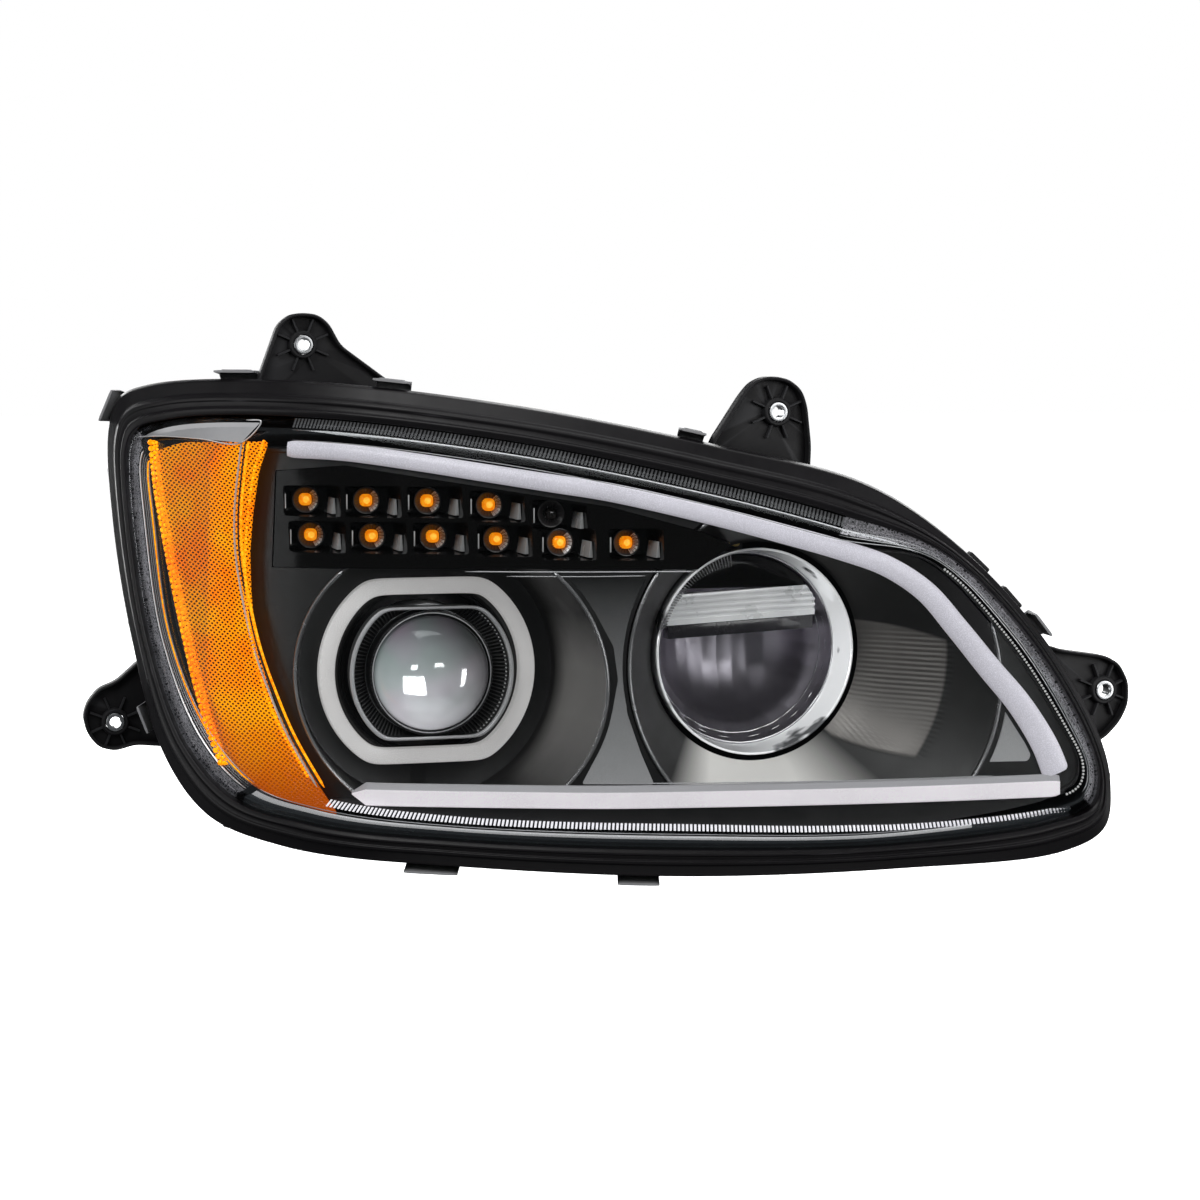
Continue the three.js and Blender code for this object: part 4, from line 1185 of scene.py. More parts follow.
def halo():
    outer, outer_flat, inner, inner_flat = 75.8, 64, 64.5, 53
    width = outer - inner
    section = [(0, 27), (0, 21.6), (0.5, 20.5), (1.6, 20), (9.7, 20), (10.8, 20.5), (11.3, 21.6), (11.3, 27)]
    loops = []
    for across, y in section:
        share = across / width
        line = flatted(outer - width * share, outer_flat + (inner_flat - outer_flat) * share, 18)
        loops.append(flat_loop(line, y, LOW["x"], LOW["z"]))
    piece("halo_ring_frosted", skin(loops, ring=True), "halo", "halo_ring")


def flatted(radius, flat, blend_in):
    """A circle with its top and bottom cut flat and the corners eased, as evenly spaced X and Z points."""
    count, soften = 240, blend_in * 0.12
    turn = full_turn(1440)
    x, z = radius * np.cos(turn), radius * np.sin(turn)
    soft = flat - soften * np.logaddexp(0, (flat - np.abs(z)) / soften)
    z = np.sign(z) * np.maximum(np.minimum(np.abs(z), soft), 0)
    line = np.column_stack([x, z])
    around = np.linalg.norm(np.diff(np.vstack([line, line[:1]]), axis=0), axis=1).sum()
    return resampled(line, around / count)[:count]


# ------------------------------------------------------------------ turn signal
LED_DEPTH = 42  # from the lens to a pocket's floor
LEDS = [
    (-203, 61), (-160, 61), (-118, 61), (-76, 58.5), (-34, 52.6),
    (-199, 37), (-156, 37), (-114, 37), (-71, 35.5), (-28, 33.4), (17, 33.4),
]
DARK_LED = 5
POCKET_HALF, POCKET_RISE = 17.6, 10.6  # half a pocket's width and height at its mouth
# A pocket from front to floor: depth from its seat and how far its sides draw in.
POCKET_SECTION = [(-34, 0.0), (-4, -0.8), (0.6, -2.2), (2, -4.5)]


def led_seat(x, z):
    return swept([(x, lens_depth(x, z) + LED_DEPTH, z)])[0]


def rectangle(half_x, half_z):
    return [(-half_x, -half_z), (half_x, -half_z), (half_x, half_z), (-half_x, half_z)]


def pocket(x, z):
    """The room round one emitter, kept inside the panel's border, as a tool."""
    sx, sy, sz = led_seat(x, z)
    mouth = soft_outline(rectangle(POCKET_HALF, POCKET_RISE), 2.5)
    loops = [flat_loop(mouth, -200, sx, sz)]
    loops += [flat_loop(mouth * (1 + grow / 18), sy + y, sx, sz) for y, grow in POCKET_SECTION]
    window = column(soft_outline(inset(PANEL, 1.6), 2.0), 200)
    return cut_by(loose(*skin(loops)), [window], "INTERSECT")


def turn_panel():
    panel = face_sheet(soft_outline(PANEL, 2.0), 17, 58, 2, depth=200)
    for x, z in LEDS:
        cut_by(panel, [pocket(x, z)])
    unit_room = turned([(0, -80), (77, -80), (77, 60), (0, 60)], 128, HIGH["x"], HIGH["z"])
    cut_by(panel, [loose(*unit_room)])
    finished(panel, "turn_panel_moulded", "gloss", "turn_panel")


def pocket_painted_glints():
    """Bright facets at the lower inner corner of every pocket, and slim sills on the dividing walls: pale
    pieces that are painted glints of the pocket walls.
    """
    facets = []
    for x, z in LEDS:
        sx, sy, sz = led_seat(x, z)
        top = sy - 24
        painted_glint = [(sx + 14.4, sz - 9.4), (sx + 17.2, sz - 9.4), (sx + 16.6, sz + 1.5), (sx + 15.9, sz + 1.5)]
        sill = [(sx - 17.3, sz - 5), (sx - 16.7, sz - 5), (sx - 16.7, sz + 5), (sx - 17.3, sz + 5)]
        facets += [prism(painted_glint, top, sy - 2), prism(sill, top, top + 2)]
    bevelled(piece("pocket_painted_glints", joined(*facets), "painted_glint"), 0.3)


def led_cup(x, y, z):
    profile = [(4.6, y - 0.5), (8.6, y - 3.5), (9.4, y - 3.5), (9.4, y + 1.6), (4.6, y + 1.6)]
    blades = spokes(20, 4.7, 8.5, y - 3.0, y, 0.35, x, z, start=math.radians(9))
    return joined(turned(rounded(profile, 0.3, 2), 60, x, z), *blades)


def led_painted_glints(x, y, z):
    """Seven pale tiles on the inboard side of a cup's wall: a painted highlight."""
    faces = [(0, 1, 2, 3), (7, 6, 5, 4), (0, 4, 5, 1), (1, 5, 6, 2), (2, 6, 7, 3), (3, 7, 4, 0)]
    foot, top, half = (5.3, y - 1.35), (8.3, y - 3.55), math.radians(7)
    tiles = []
    for k in range(-3, 4):
        middle = math.radians(k * 18 - 8)
        a, b = middle - half, middle + half
        corners = [(foot, a), (foot, b), (top, b), (top, a)]
        front = np.array([(x + r * math.cos(t), depth, z + r * math.sin(t)) for (r, depth), t in corners])
        tiles.append((np.vstack([front, front + (0, 1.0, 0)]), faces))
    return joined(*tiles)


# Heights over the seat: the emitter's dome by share of its size, and the bright core on it by radius.
EMITTER_HALF = 4.2
EMITTER_SECTION = [(1.0, -0.4), (1.0, 2.6), (0.94, 3.5), (0.8, 4.1), (0.5, 4.6), (0.2, 4.8)]
CORE_SECTION = [(0, 5.5), (1.3, 5.4), (2.1, 5.0), (2.4, 4.4), (0, 4.4)]


def turn_leds():
    square = soft_outline(rectangle(EMITTER_HALF, EMITTER_HALF), 3.4, 7)
    for i, (face_x, face_z) in enumerate(LEDS, 1):
        x, y, z = led_seat(face_x, face_z)
        lit = i != DARK_LED
        piece(f"turn_led_{i}_cup", led_cup(x, y, z), "cup", f"turn_led_{i}")
        if lit:
            piece(f"turn_led_{i}_segments", led_painted_glints(x, y, z), "segment")
        dome_loops = [flat_loop(square * share, y - height, x, z) for share, height in EMITTER_SECTION]
        look, slot = ("led", "amber_led") if lit else ("dark_led", "dark_led")
        piece(f"turn_led_{i}_emitter", skin(dome_loops), look)
        if lit:
            core = turned([(r, y - height) for r, height in CORE_SECTION], 32, x, z)
            piece(f"turn_led_{i}_core", core, "led_core")


# ------------------------------------------------------------------ light bars and side reflector
BAR_OFFSET = 8.6  # the light bars' front behind the lens


def face_bar(line, section, width_at, steps, point=0):
    """A light guide along a line on the face; `point` steps at its start draw to a point."""
    curve = spline(line, steps, False)
    ahead = np.gradient(curve, axis=0)
    ahead /= np.linalg.norm(ahead, axis=1)[:, None]
    side = np.column_stack([-ahead[:, 1], ahead[:, 0]])
    last = len(curve) - 1
    loops = []
    for i, (p, s) in enumerate(zip(curve, side)):
        end = min(i, last - i)
        taper = (0.82, 0.94, 0.985)[end] if end < 3 else 1.0
        if i < point:
            taper = 0.12 + 0.88 * i / point
        width = width_at(i / last) * taper
        front = lens_depth(*p) + BAR_OFFSET + (1 - taper) * 3
        row = [(p[0] + s[0] * a * width, front + d, p[1] + s[1] * a * width) for a, d in section]
        loops.append(np.array(row))
    return swept_shape(skin(loops))


# Slim bright beads under the turn panel and along the lower bar's upper edge: line, offset and radius.
TRIM_BEADS = [
    ([(-90, 15.2), (-20, 15.2), (40, 15.6), (62, 15.8)], 15.2, 0.45),
    ([(-62, 12.2), (-10, 12.2), (30, 12.8)], 15.4, 0.35),
    ([(30, -123.6), (120, -122.9), (210, -121.6), (262, -120.6)], 10.6, 0.4),
]


def light_bars():
    arch = [(-6 * math.cos(a), 4 - 4 * math.sin(a)) for a in np.linspace(0.15, math.pi - 0.15, 15)]
    half_round = [(-6, 6), (-6, 4), *arch, (6, 4), (6, 6)]
    upper = face_bar(UPPER_BAR, half_round, lambda t: 0.97 + 0.55 * t * t, 16)
    piece("light_bar_upper_guide", upper, "guide", "light_bar_upper")
    bevel = rounded([(-7.5, 6), (-7.5, 0.9), (-6.6, 0), (3.3, 0), (7.5, 3), (7.5, 6)], 0.7, 3)
    lower = face_bar(LOWER_BAR, bevel, lambda t: 1.0, 40, point=4)
    piece("light_bar_lower_guide", lower, "guide_low", "light_bar_lower")
    beads = [tube(on_lens(spline(line, 24, False), offset), radius) for line, offset, radius in TRIM_BEADS]
    piece("trim_beads", joined(*beads), "lip_bright")


# The fold of the side reflector, from top to bottom.
CREASE = [
    (-242, 101), (-245, 77), (-247, 52), (-246, 25), (-241, -4), (-232, -39), (-221, -67), (-208, -95),
    (-187, -129),
]
# A bead's section: (depth, share of the radius), with depth in units of 1.2 radii.
BEAD_SECTION = [(0.2, 1.0), (0.0, 0.97), (-0.5, 0.82), (-0.85, 0.5)]


def bead_row(line, pitch, radius, offset):
    """Domed beads side by side along a line behind the lens."""
    x, z = resampled(spline(line, 24, False), pitch, closed=False).T
    places = np.column_stack([x, lens_depth(x, z) + offset, z])
    return dots(places, radius, [(lift * radius * 1.2, share) for lift, share in BEAD_SECTION])


def side_reflector():
    patch = face_sheet(soft_outline(AMBER, 3.0), 5.6, 8.6, 1.55)
    finished(patch, "side_reflector_prisms", "amber", "side_reflector")
    outer_edge, inner_edge = AMBER[:7], AMBER[:9:-1]
    rows = [bead_row([(x - 3.2, z) for x, z in inner_edge], 2.6, 1.2, 5.3)]
    for inwards, radius in ((2.4, 2.1), (5.4, 1.7), (7.6, 1.1)):
        rows.append(bead_row([(x + inwards, z) for x, z in outer_edge], 2 * radius + 0.2, radius, 5.2))
    piece("side_reflector_beads", joined(*rows), "amber_bead")
    # Along the fold, the pale bead is a painted highlight of the clear ridge, the black bead a painted shade
    # line and the amber bead a painted yellow-orange highlight.
    for shift, radius, offset, look in (
        (-2.4, 0.8, 5.3, "crease"), (0.4, 0.6, 5.4, "black"), (2.6, 0.9, 5.3, "amber_bead"),
    ):
        bead = tube(on_lens(spline(CREASE, 30, False) + (shift, 0), offset), radius)
        piece(f"side_reflector_crease_{look}", bead, look)


# ------------------------------------------------------------------ low beam unit
LOW_AXIS = (LOW["x"], LOW["z"])
FIN_HALF, FIN_FOOT = 0.45, 23.5  # half a fin's thickness, and the depth of its foot
FLAT_HALF = 43.3  # half the height between the shroud's flats


def low_beam_piece(name, shape, look, node=None):
    return piece(name, shape, look, node, body="low_beam_unit")


def projector_lens():
    radius = 40
    dome_line = [(0, -14), (10, -13.2), (20, -10.6), (28, -6.5), (34, -1.5), (38.5, 4.5), (radius, 10)]
    front = spline(dome_line, 8, False)
    front[:, 0] = np.minimum(front[:, 0], radius)
    profile = [tuple(p) for p in front] + [(radius, 13), (0, 13)]
    shape = turned(profile, 160, *LOW_AXIS)
    return low_beam_piece("projector_lens_ground", shape, "projector", "projector_lens")


def lens_retainer():
    edge = rounded([(40.7, 7.2), (41.5, 7.2), (41.5, 8.1), (40.7, 8.1)], 0.35, 3)
    low_beam_piece("projector_edge_ring", turned(edge, 160, *LOW_AXIS), "trim")
    sleeve = rounded([(40.4, 8), (43, 8), (43, 24), (37, 24), (37, 13.4), (40.4, 13.4)], 0.5, 3)
    notches = spokes(96, 40.6, 42.8, 7.6, 8.4, 0.7, *LOW_AXIS)
    shape = joined(turned(sleeve, 128, *LOW_AXIS), *notches)
    low_beam_piece("lens_retainer_moulded", shape, "black", "lens_retainer")


def shroud_fin(angle):
    """A radial fin from the lens up the funnel, or nothing where the flats leave it no room."""
    near, far = 44.1, min(53.3, FLAT_HALF / max(abs(math.sin(angle)), 1e-3))
    if far < 45.4:
        return []
    sections = []
    for top in (20.4, 9.6 + (53.3 - far) * 0.9):
        sections.append([(1, FIN_FOOT), (0.7, top), (-0.7, top), (-1, FIN_FOOT)])
    start, end = at_angle(angle, near, *LOW_AXIS), at_angle(angle, far, *LOW_AXIS)
    return [wall(start, end, 2 * FIN_HALF, *sections)]


def low_beam_shroud():
    """A flatted wall, a funnel down to the lens and radial fins on it."""
    section = [
        (55.4, 45.3, 24.2), (55.4, 45.3, 7.4), (55.0, 44.9, 7.0), (53.8, 43.9, 7.0), (53.4, 43.5, 7.4),
        (53.4, 43.5, 14), (43.9, FLAT_HALF, 22), (43.6, 43.2, 24.2),
    ]
    loops = [flat_loop(flatted(r, flat, 16 if r > 50 else 6), y, *LOW_AXIS) for r, flat, y in section]
    parts = [skin(loops, ring=True)]
    for angle in full_turn(120):
        parts += shroud_fin(angle)
    shape = joined(*parts)
    low_beam_piece("low_beam_shroud_finned", shape, "shroud", "low_beam_shroud")

    beads, bead = [], [(0, 8.2), (0.35, 8.3), (0.6, 8.7), (0.6, 9.6), (0, 9.6)]
    for angle in np.radians(np.arange(-52, 53, 3.0)):
        reach = min(52.4, 42.6 / max(abs(math.sin(angle)), 1e-3))
        beads.append(turned(bead, 10, *at_angle(angle, reach, *LOW_AXIS)))
    low_beam_piece("low_beam_bead_row", joined(*beads), "segment")


def low_beam_trim_ring():
    section = [(0, 6.7), (0, 5.6), (0.12, 4.95), (0.35, 4.6), (0.6, 4.6), (0.88, 5.2), (1, 6.0), (1, 6.7)]
    loops = []
    for share, y in section:
        loops.append(flat_loop(flatted(57 - 3.0 * share, 45.6 - 2.0 * share, 16), y, *LOW_AXIS))
    shape = skin(loops, ring=True)
    low_beam_piece("low_beam_trim_ring_bright", shape, "trim", "low_beam_trim_ring")


# ------------------------------------------------------------------ high beam unit
BAR_HALF, BAR_CIRCLE, BAR_LEAN = 54, 62, 0.05  # the lamp bar's half length, the circle trimming it, its slope
HIGH_AXIS = (HIGH["x"], HIGH["z"])


def high_beam_piece(name, shape, look, node=None, sharp=SHARP):
    return piece(name, shape, look, node, body="high_beam_unit", sharp=sharp)


def high_beam_ring():
    section = rounded([(69.4, -53), (71, -53), (71, -50.5), (68.4, -25), (67, -25), (67.1, -27.4)], 0.5, 4)
    shape = turned(section, 192, *HIGH_AXIS)
    return high_beam_piece("high_beam_ring_bright", shape, "ring", "high_beam_ring")


def high_beam_bowl():
    """A bowl with upright facets below the lamp and radial flutes round its mouth."""
    x, z = HIGH_AXIS
    turn = full_turn(288)
    inner = [
        (66.6, -24.6), (61.5, -14.5), (54.6, -5), (51, 5), (44, 16.5), (33, 26), (20, 31), (8, 31.9),
        (0.3, 32),
    ]
    outer = [
        (0.3, 34), (20, 33), (34, 28), (46, 18), (53, 6), (55.2, -3), (63, -14), (68, -22), (68, -24.6),
    ]
    loops = []
    for r, y in spline(inner, 6, False):
        radius = r - 0.25 * np.abs(np.sin(turn * 14)) * np.clip((r - 46) / 6, 0, 1)
        facets = 0.5 * np.abs(np.sin(radius * np.cos(turn) * math.pi / 11.0)) * np.clip((46 - r) / 8, 0, 1)
        flutes_share = np.clip((r - 50) / 4, 0, 1) * np.clip((66 - r) / 4, 0, 1)
        facets = facets + 1.1 * np.abs(np.sin(turn * 11)) * flutes_share
        loops.append(round_loop(turn, radius, y - facets, x, z))
    loops += [round_loop(turn, r, y, x, z) for r, y in outer]
    high_beam_piece("high_beam_reflector_faceted", skin(loops, ring=True), "bowl",
                    "high_beam_reflector", sharp=math.radians(24))


def high_beam_bar():
    """Ribbed silver bar across the bowl."""
    x, z = HIGH_AXIS
    section = [(-10, 19), (-23, 19), (-23, 22.6)]
    for up in (23, 27, 31, 35):
        section += [(-21.4, up), (-21.4, up + 1.6), (-23, up + 2), (-23.4, up + 3), (-23, up + 3.9)]
    section += [(-23, 40), (-10, 40)]
    loops = []
    for share in np.linspace(-1, 1, 21):
        row = []
        for y, up in section:
            across = share * min(BAR_HALF, math.sqrt(BAR_CIRCLE**2 - up**2))
            row.append((x + across, y, z + up + BAR_LEAN * across))
        loops.append(np.array(row))
    shape = skin(loops)
    return high_beam_piece(
        "high_beam_led_bar_ribbed", shape, "bar", "high_beam_led_bar")


def high_beam_board():
    """A dark board below the bar, with eight small lamps under it."""
    x, z = HIGH_AXIS
    parts = [box_part(x - BAR_HALF + 1, x + BAR_HALF - 1, -21.5, -10, z + 9.5, z + 18.7)]
    for k in range(8):
        middle = x - 42 + k * 12
        parts.append(box_part(middle - 1.6, middle + 1.6, -18, -14, z + 8.9, z + 9.6))
    verts, faces = joined(*parts)
    verts[:, 2] += BAR_LEAN * (verts[:, 0] - x)
    board = bevelled(loose(verts, faces), 0.4)
    finished(board, "high_beam_led_board_fitted", "board_dark", "high_beam_led_board",
             body="high_beam_unit")


def high_beam_cover():
    """The black segment above the bar."""
    low, radius = 41.5, 64.5
    start = math.asin(low / radius)
    outline = [at_angle(a, radius, *HIGH_AXIS) for a in np.linspace(start, math.pi - start, 24)]
    cover = bevelled(loose(*prism(outline, -22, -19.5)), 0.5)
    finished(cover, "high_beam_upper_shroud_moulded", "gloss", "high_beam_upper_shroud",
             body="high_beam_unit")


def high_beam_edge():
    """Slanting teeth on the upper outboard quarter of the ring, and three thin hoops inside it."""
    slant, thick = 0.05, 1.4
    foot, top = ([(1, y), (1, y - thick), (-1, y - thick), (-1, y)] for y in (-22.8, -33.5))
    teeth = []
    for angle in np.radians(np.arange(98, 166, 2.0)):
        start, end = at_angle(angle, 57, *HIGH_AXIS), at_angle(angle + slant, 66.3, *HIGH_AXIS)
        teeth.append(wall(start, end, 0.8, foot, top))
    high_beam_piece("high_beam_ring_teeth", joined(*teeth), "lip")
    hoops = []
    for r, y in ((65.7, -25.6), (63.4, -19), (60.4, -14.6)):
        section = rounded([(r, y), (r + 0.9, y), (r + 0.9, y + 0.9), (r, y + 0.9)], 0.4, 3)
        hoops.append(turned(section, 160, *HIGH_AXIS))
    high_beam_piece("high_beam_hoops", joined(*hoops), "chrome")


# ------------------------------------------------------------------ rear fittings
def caps():
    for unit, name, body in ((LOW, "low_beam_cap", "low_cap"), (HIGH, "high_beam_cap", "high_cap")):
        x, z, end, flange = unit["x"], unit["z"], unit["end"], unit["dome"] - 2
        top = end + 8
        profile = [(0, end - 6), (45.4, end - 6), (45.4, end + 0.4), (flange, end + 0.4), (flange, end + 6),
                   (flange - 3, top), (flange - 9, top), (flange - 10, top - 1.2), (flange - 13, top - 1.2),
                   (flange - 14, top), (0, top)]
        lid = turned(rounded(profile, 1.0, 3, closed=False), 144, x, z)
        grips = spokes(48, flange - 0.8, flange + 0.7, end + 1.4, end + 5, 2.2, x, z)
        handle = bevelled(loose(*box_part(x - 34, x + 34, end + 7, end + 17, z - 4, z + 4)), 1.6, 4)
        cap = merged([loose(*joined(lid, *grips)), handle])
        finished(cap, f"{name}_moulded", "rubber", name, body=body)


def block(middle, half, y0, y1):
    """A box about a point in X and Z, between two depths."""
    (x, z), (half_x, half_z) = middle, half
    return box_part(x - half_x, x + half_x, y0, y1, z - half_z, z + half_z)


def connector():
    """A socket with six pins and a latch on each side."""
    middle, half, y0, y1 = (-10, -95), (14, 9), 108, 146
    wall_thick, latch = 2.5, 1.2
    shell = loose(*block(middle, half, y0, y1))
    cut_by(shell, [loose(*block(middle, (half[0] - wall_thick, half[1] - wall_thick), y0 + 8, y1 + 1))])
    parts = [bevelled(shell, 0.7)]
    for dx in (-7.5, 0, 7.5):
        for dz in (-3, 3):
            pin = block((middle[0] + dx, middle[1] + dz), (0.8, 0.8), y0 + 7, y1 - 8)
            parts.append(bevelled(loose(*pin), 0.3))
    for side in (-1, 1):
        edge = middle[0] + side * (half[0] + latch / 2)
        parts.append(bevelled(loose(*block((edge, middle[1]), (latch / 2, 4), y1 - 14, y1 - 3)), 0.4))
    finished(merged(parts), "connector_socket_moulded", "black", "connector_socket")


def driver_module():
    """A cast box with cooling fins and four screws, trimmed where it meets the housing."""
    left, right, low, high = -85, 45, 24, 72
    parts = [bevelled(loose(*swept_shape(box_part(left, right, 104, 127, low, high))), 1.5, 3)]
    gaps = [-78 + i * 13.5 for i in range(9)]
    edges = [left] + [edge for gap in gaps for edge in (gap, gap + 7)] + [right]
    for start, end in zip(edges[::2], edges[1::2]):
        fin = swept_shape(box_part(start, end, 120, 138, low, high))
        parts.append(bevelled(loose(*fin), 0.8, 3))
    screw = [(0, 136), (2.6, 136), (2.6, 139.2), (1.2, 139.2), (1.2, 138.4), (0, 138.4)]
    for x in (left + 4, right - 4):
        for z in (low + 4, high - 4):
            head = turned(rounded(screw, 0.3, 2, closed=False), 24, x, z)
            parts.append(loose(*swept_shape(head)))
    whole = cut_by(merged(parts), [loose(*tub(0, 0.02, 31))])
    finished(whole, "driver_module_cast", "cast", "driver_module")


def vent_cap():
    x, z, seat = -215, -50, 206
    profile = [(0, 188), (4, 188), (4, seat), (9, seat), (9, seat + 9), (0, seat + 9)]
    body = turned(rounded(profile, 1.0, 4, closed=False), 64, x, z)
    grips = spokes(16, 8.6, 9.5, seat + 1.5, seat + 7, 1.3, x, z)
    piece("vent_cap_moulded", joined(body, *grips), "rubber", "vent_cap")


def adjusters():
    """Aiming screws: a thread drawn as rings, and a hexagonal head with a slot."""
    for unit, name, body in (
        (LOW, "low_beam_adjuster", "low_adjuster"), (HIGH, "high_beam_adjuster", "high_adjuster"),
    ):
        x, z, y0, y1 = unit["x"], unit["z"] + unit["arm"], unit["pivot"] - 10, unit["screw"]
        steps = int((y1 - y0) / 0.25)
        profile = [(0, y0)]
        for i in range(steps):
            profile.append((2.7 + 0.3 * math.cos(i * math.pi / 2), y0 + i * (y1 - 6 - y0) / steps))
        profile += [(3, y1 - 5), (3, y1 + 2), (0, y1 + 2)]
        knob = [(0, y1 + 0.3), (7.0, y1 + 0.3), (8, y1 + 1.2), (8, y1 + 6.8), (7.0, y1 + 8), (3.4, y1 + 8),
                (3.2, y1 + 7.2), (0, y1 + 7.2)]
        blade = block((x, z), (2.6, 0.6), y1 + 7, y1 + 7.8)
        shape = joined(turned(profile, 28, x, z), turned(knob, 6, x, z), blade)
        piece(f"{name}_threaded", shape, "brass", name, body=body)


# ------------------------------------------------------------------ materials of the lamp
def frosted(name, color, glow, rough=0.35, bevel=None):
    """A frosted light guide: pale, glossy, faintly speckled; `glow` is a faint painted glow, and `bevel` is a
    darker colour painted as shade on the faces that turn upwards.
    """
    m = Look(name)
    speckle = m.noise(1500, 2, 0.5)
    dark, pale = tuple(c * 0.86 for c in color), tuple(min(1, c * 1.5) for c in color)
    base = m.mix(m.ramp(m.noise(18, 4), 0, 1), dark, color)
    base = m.mix(m.ramp(speckle, 0, 0.5, 0.45, 0.75), base, pale)
    if bevel:
        # Painted shade: faces that turn upwards take the darker `bevel` colour.
        normal = m.add("SeparateXYZ", {"Vector": m.add("NewGeometry", {}).outputs["Normal"]})
        base = m.mix(m.ramp(normal.outputs["Z"], 0, 1, 0.3, 0.5), base, bevel)
    gloss = m.ramp(m.noise(60, 4), rough - 0.07, rough + 0.08)
    # Painted light: the base colour also glows faintly.
    m.feed(Base_Color=base, Emission_Color=base, Emission_Strength=glow, Roughness=gloss)
    m.bump(speckle, 0.3, 0.04)
    return m.material


PRISM_PITCH = 2.7 * MM


def amber_plastic(name, prisms=True):
    """Amber lens plastic, with a diamond prism field moulded in its back unless it is a bead. It glows as
    painted light, the hollows of the prism field are painted dark as shade, and the field turns darker brown
    towards the bottom.
    """
    m = Look(name)
    across, up = m.place()
    cloud = m.noise(22, 5, 0.65)
    deep, mid, bright = (0.004, 0.0, 0.0), (1.0, 0.19, 0.0), (1.0, 0.37, 0.0)
    base = m.mix(m.ramp(cloud, 0, 1, 0.35, 0.65), mid, bright)
    if prisms:
        rising = m.math("ADD", up, m.math("MULTIPLY", across, 0.7))
        falling = m.math("SUBTRACT", m.math("MULTIPLY", up, 0.7), across)
        waves = [m.math("PINGPONG", run, PRISM_PITCH / 2) for run in (rising, falling)]
        share = m.math("MULTIPLY", m.math("MAXIMUM", *waves), 2 / PRISM_PITCH)
        # Painted shade: the hollows of the prism field darken to near black.
        base = m.mix(m.ramp(share, 1.0, 0.0, 0.4, 0.72), base, deep)
        # Darker brown towards the bottom.
        base = m.mix(m.ramp(up, 1.0, 0.0, -0.14, -0.07), base, (0.3, 0.05, 0.0))
        m.bump(share, 0.8, 0.5)
    else:
        base = m.mix(m.ramp(m.noise(500, 2), 0, 0.6, 0.45, 0.6), base, (1.0, 0.6, 0.02))
        m.bump(cloud, 0.2, 0.1)
    # Painted light: the amber plastic glows with its own colour.
    m.feed(Base_Color=base, Emission_Color=base, Emission_Strength=0.9, Specular_IOR_Level=0.1)
    m.feed(Roughness=m.ramp(m.noise(70, 5), 0.1, 0.24))
    return m.material


def glowing(name, core, edge, strength):
    """A lit emitter."""
    m = Look(name)
    grain = m.noise(420, 4)
    base = m.mix(m.ramp(grain, 0, 1, 0.35, 0.65), edge, core)
    m.feed(Base_Color=base, Emission_Color=base, Emission_Strength=strength, Coat_Weight=0.5)
    m.feed(Roughness=m.ramp(m.noise(200, 3), 0.15, 0.3))
    m.bump(grain, 0.3, 0.06)
    return m.material


def low_bay_finish(name):
    """The low bay: black, with a painted satin sheen, a lighter grey patch, on its inner side wall."""
    m = Look(name)
    angle, radius = m.polar(LOW)
    # Painted sheen: the mask of the lighter patch on the inner side wall.
    side = m.math("MULTIPLY", m.ramp(angle, 0, 1, -0.95, -0.3), m.ramp(angle, 1, 0, 0.05, 0.45))
    satin = m.math("MULTIPLY", m.ramp(radius, 0, 1, 0.0905, 0.093), side)
    dark = m.mix(m.ramp(m.noise(18, 4), 0, 1), (0.008, 0.0078, 0.008), (0.014, 0.0137, 0.014))
    m.feed(Base_Color=m.mix(satin, dark, (0.34, 0.33, 0.32)), Metallic=m.math("MULTIPLY", satin, 0.5))
    m.feed(Roughness=m.ramp(m.noise(55, 6), 0.34, 0.46))
    m.bump(m.noise(2200, 3), 0.3, 0.015)
    return m.material


def satin_finish(name):
    """Fine-grained grey satin plastic that darkens towards its upper end."""
    m = Look(name)
    _, up = m.place()
    base = m.mix(m.ramp(up, 0, 1, -0.12, 0.01), (0.56, 0.56, 0.565), (0.006, 0.0065, 0.0065))
    base = m.mix(m.ramp(m.noise(1700, 2), 0.8, 1.0), (0.01, 0.01, 0.01), base)
    m.feed(Base_Color=base, Metallic=0.25, Roughness=m.ramp(m.noise(70, 4), 0.34, 0.44))
    m.bump(m.noise(2600, 3), 0.35, 0.02)
    return m.material


def border_teeth(name):
    """Moulded teeth of the lens border: grey round the top, near white along the bottom edge; all of them
    glow faintly as painted light, the bottom ones more.
    """
    m = Look(name)
    _, up = m.place()
    low = m.ramp(up, 1, 0, -0.135, -0.1)
    base = m.mix(m.ramp(m.noise(40, 4), 0, 1), (0.2, 0.2, 0.21), (0.34, 0.35, 0.36))
    base = m.mix(low, base, (0.85, 0.84, 0.88))
    # Painted light: the teeth glow, more along the bottom edge.
    glow = m.math("ADD", m.math("MULTIPLY", low, 0.35), 0.3)
    m.feed(Base_Color=base, Emission_Color=base, Emission_Strength=glow, Coat_Weight=0.6)
    m.feed(Roughness=m.ramp(m.noise(90, 4), 0.12, 0.26))
    m.bump(m.noise(700, 3), 0.3, 0.01)
    return m.material


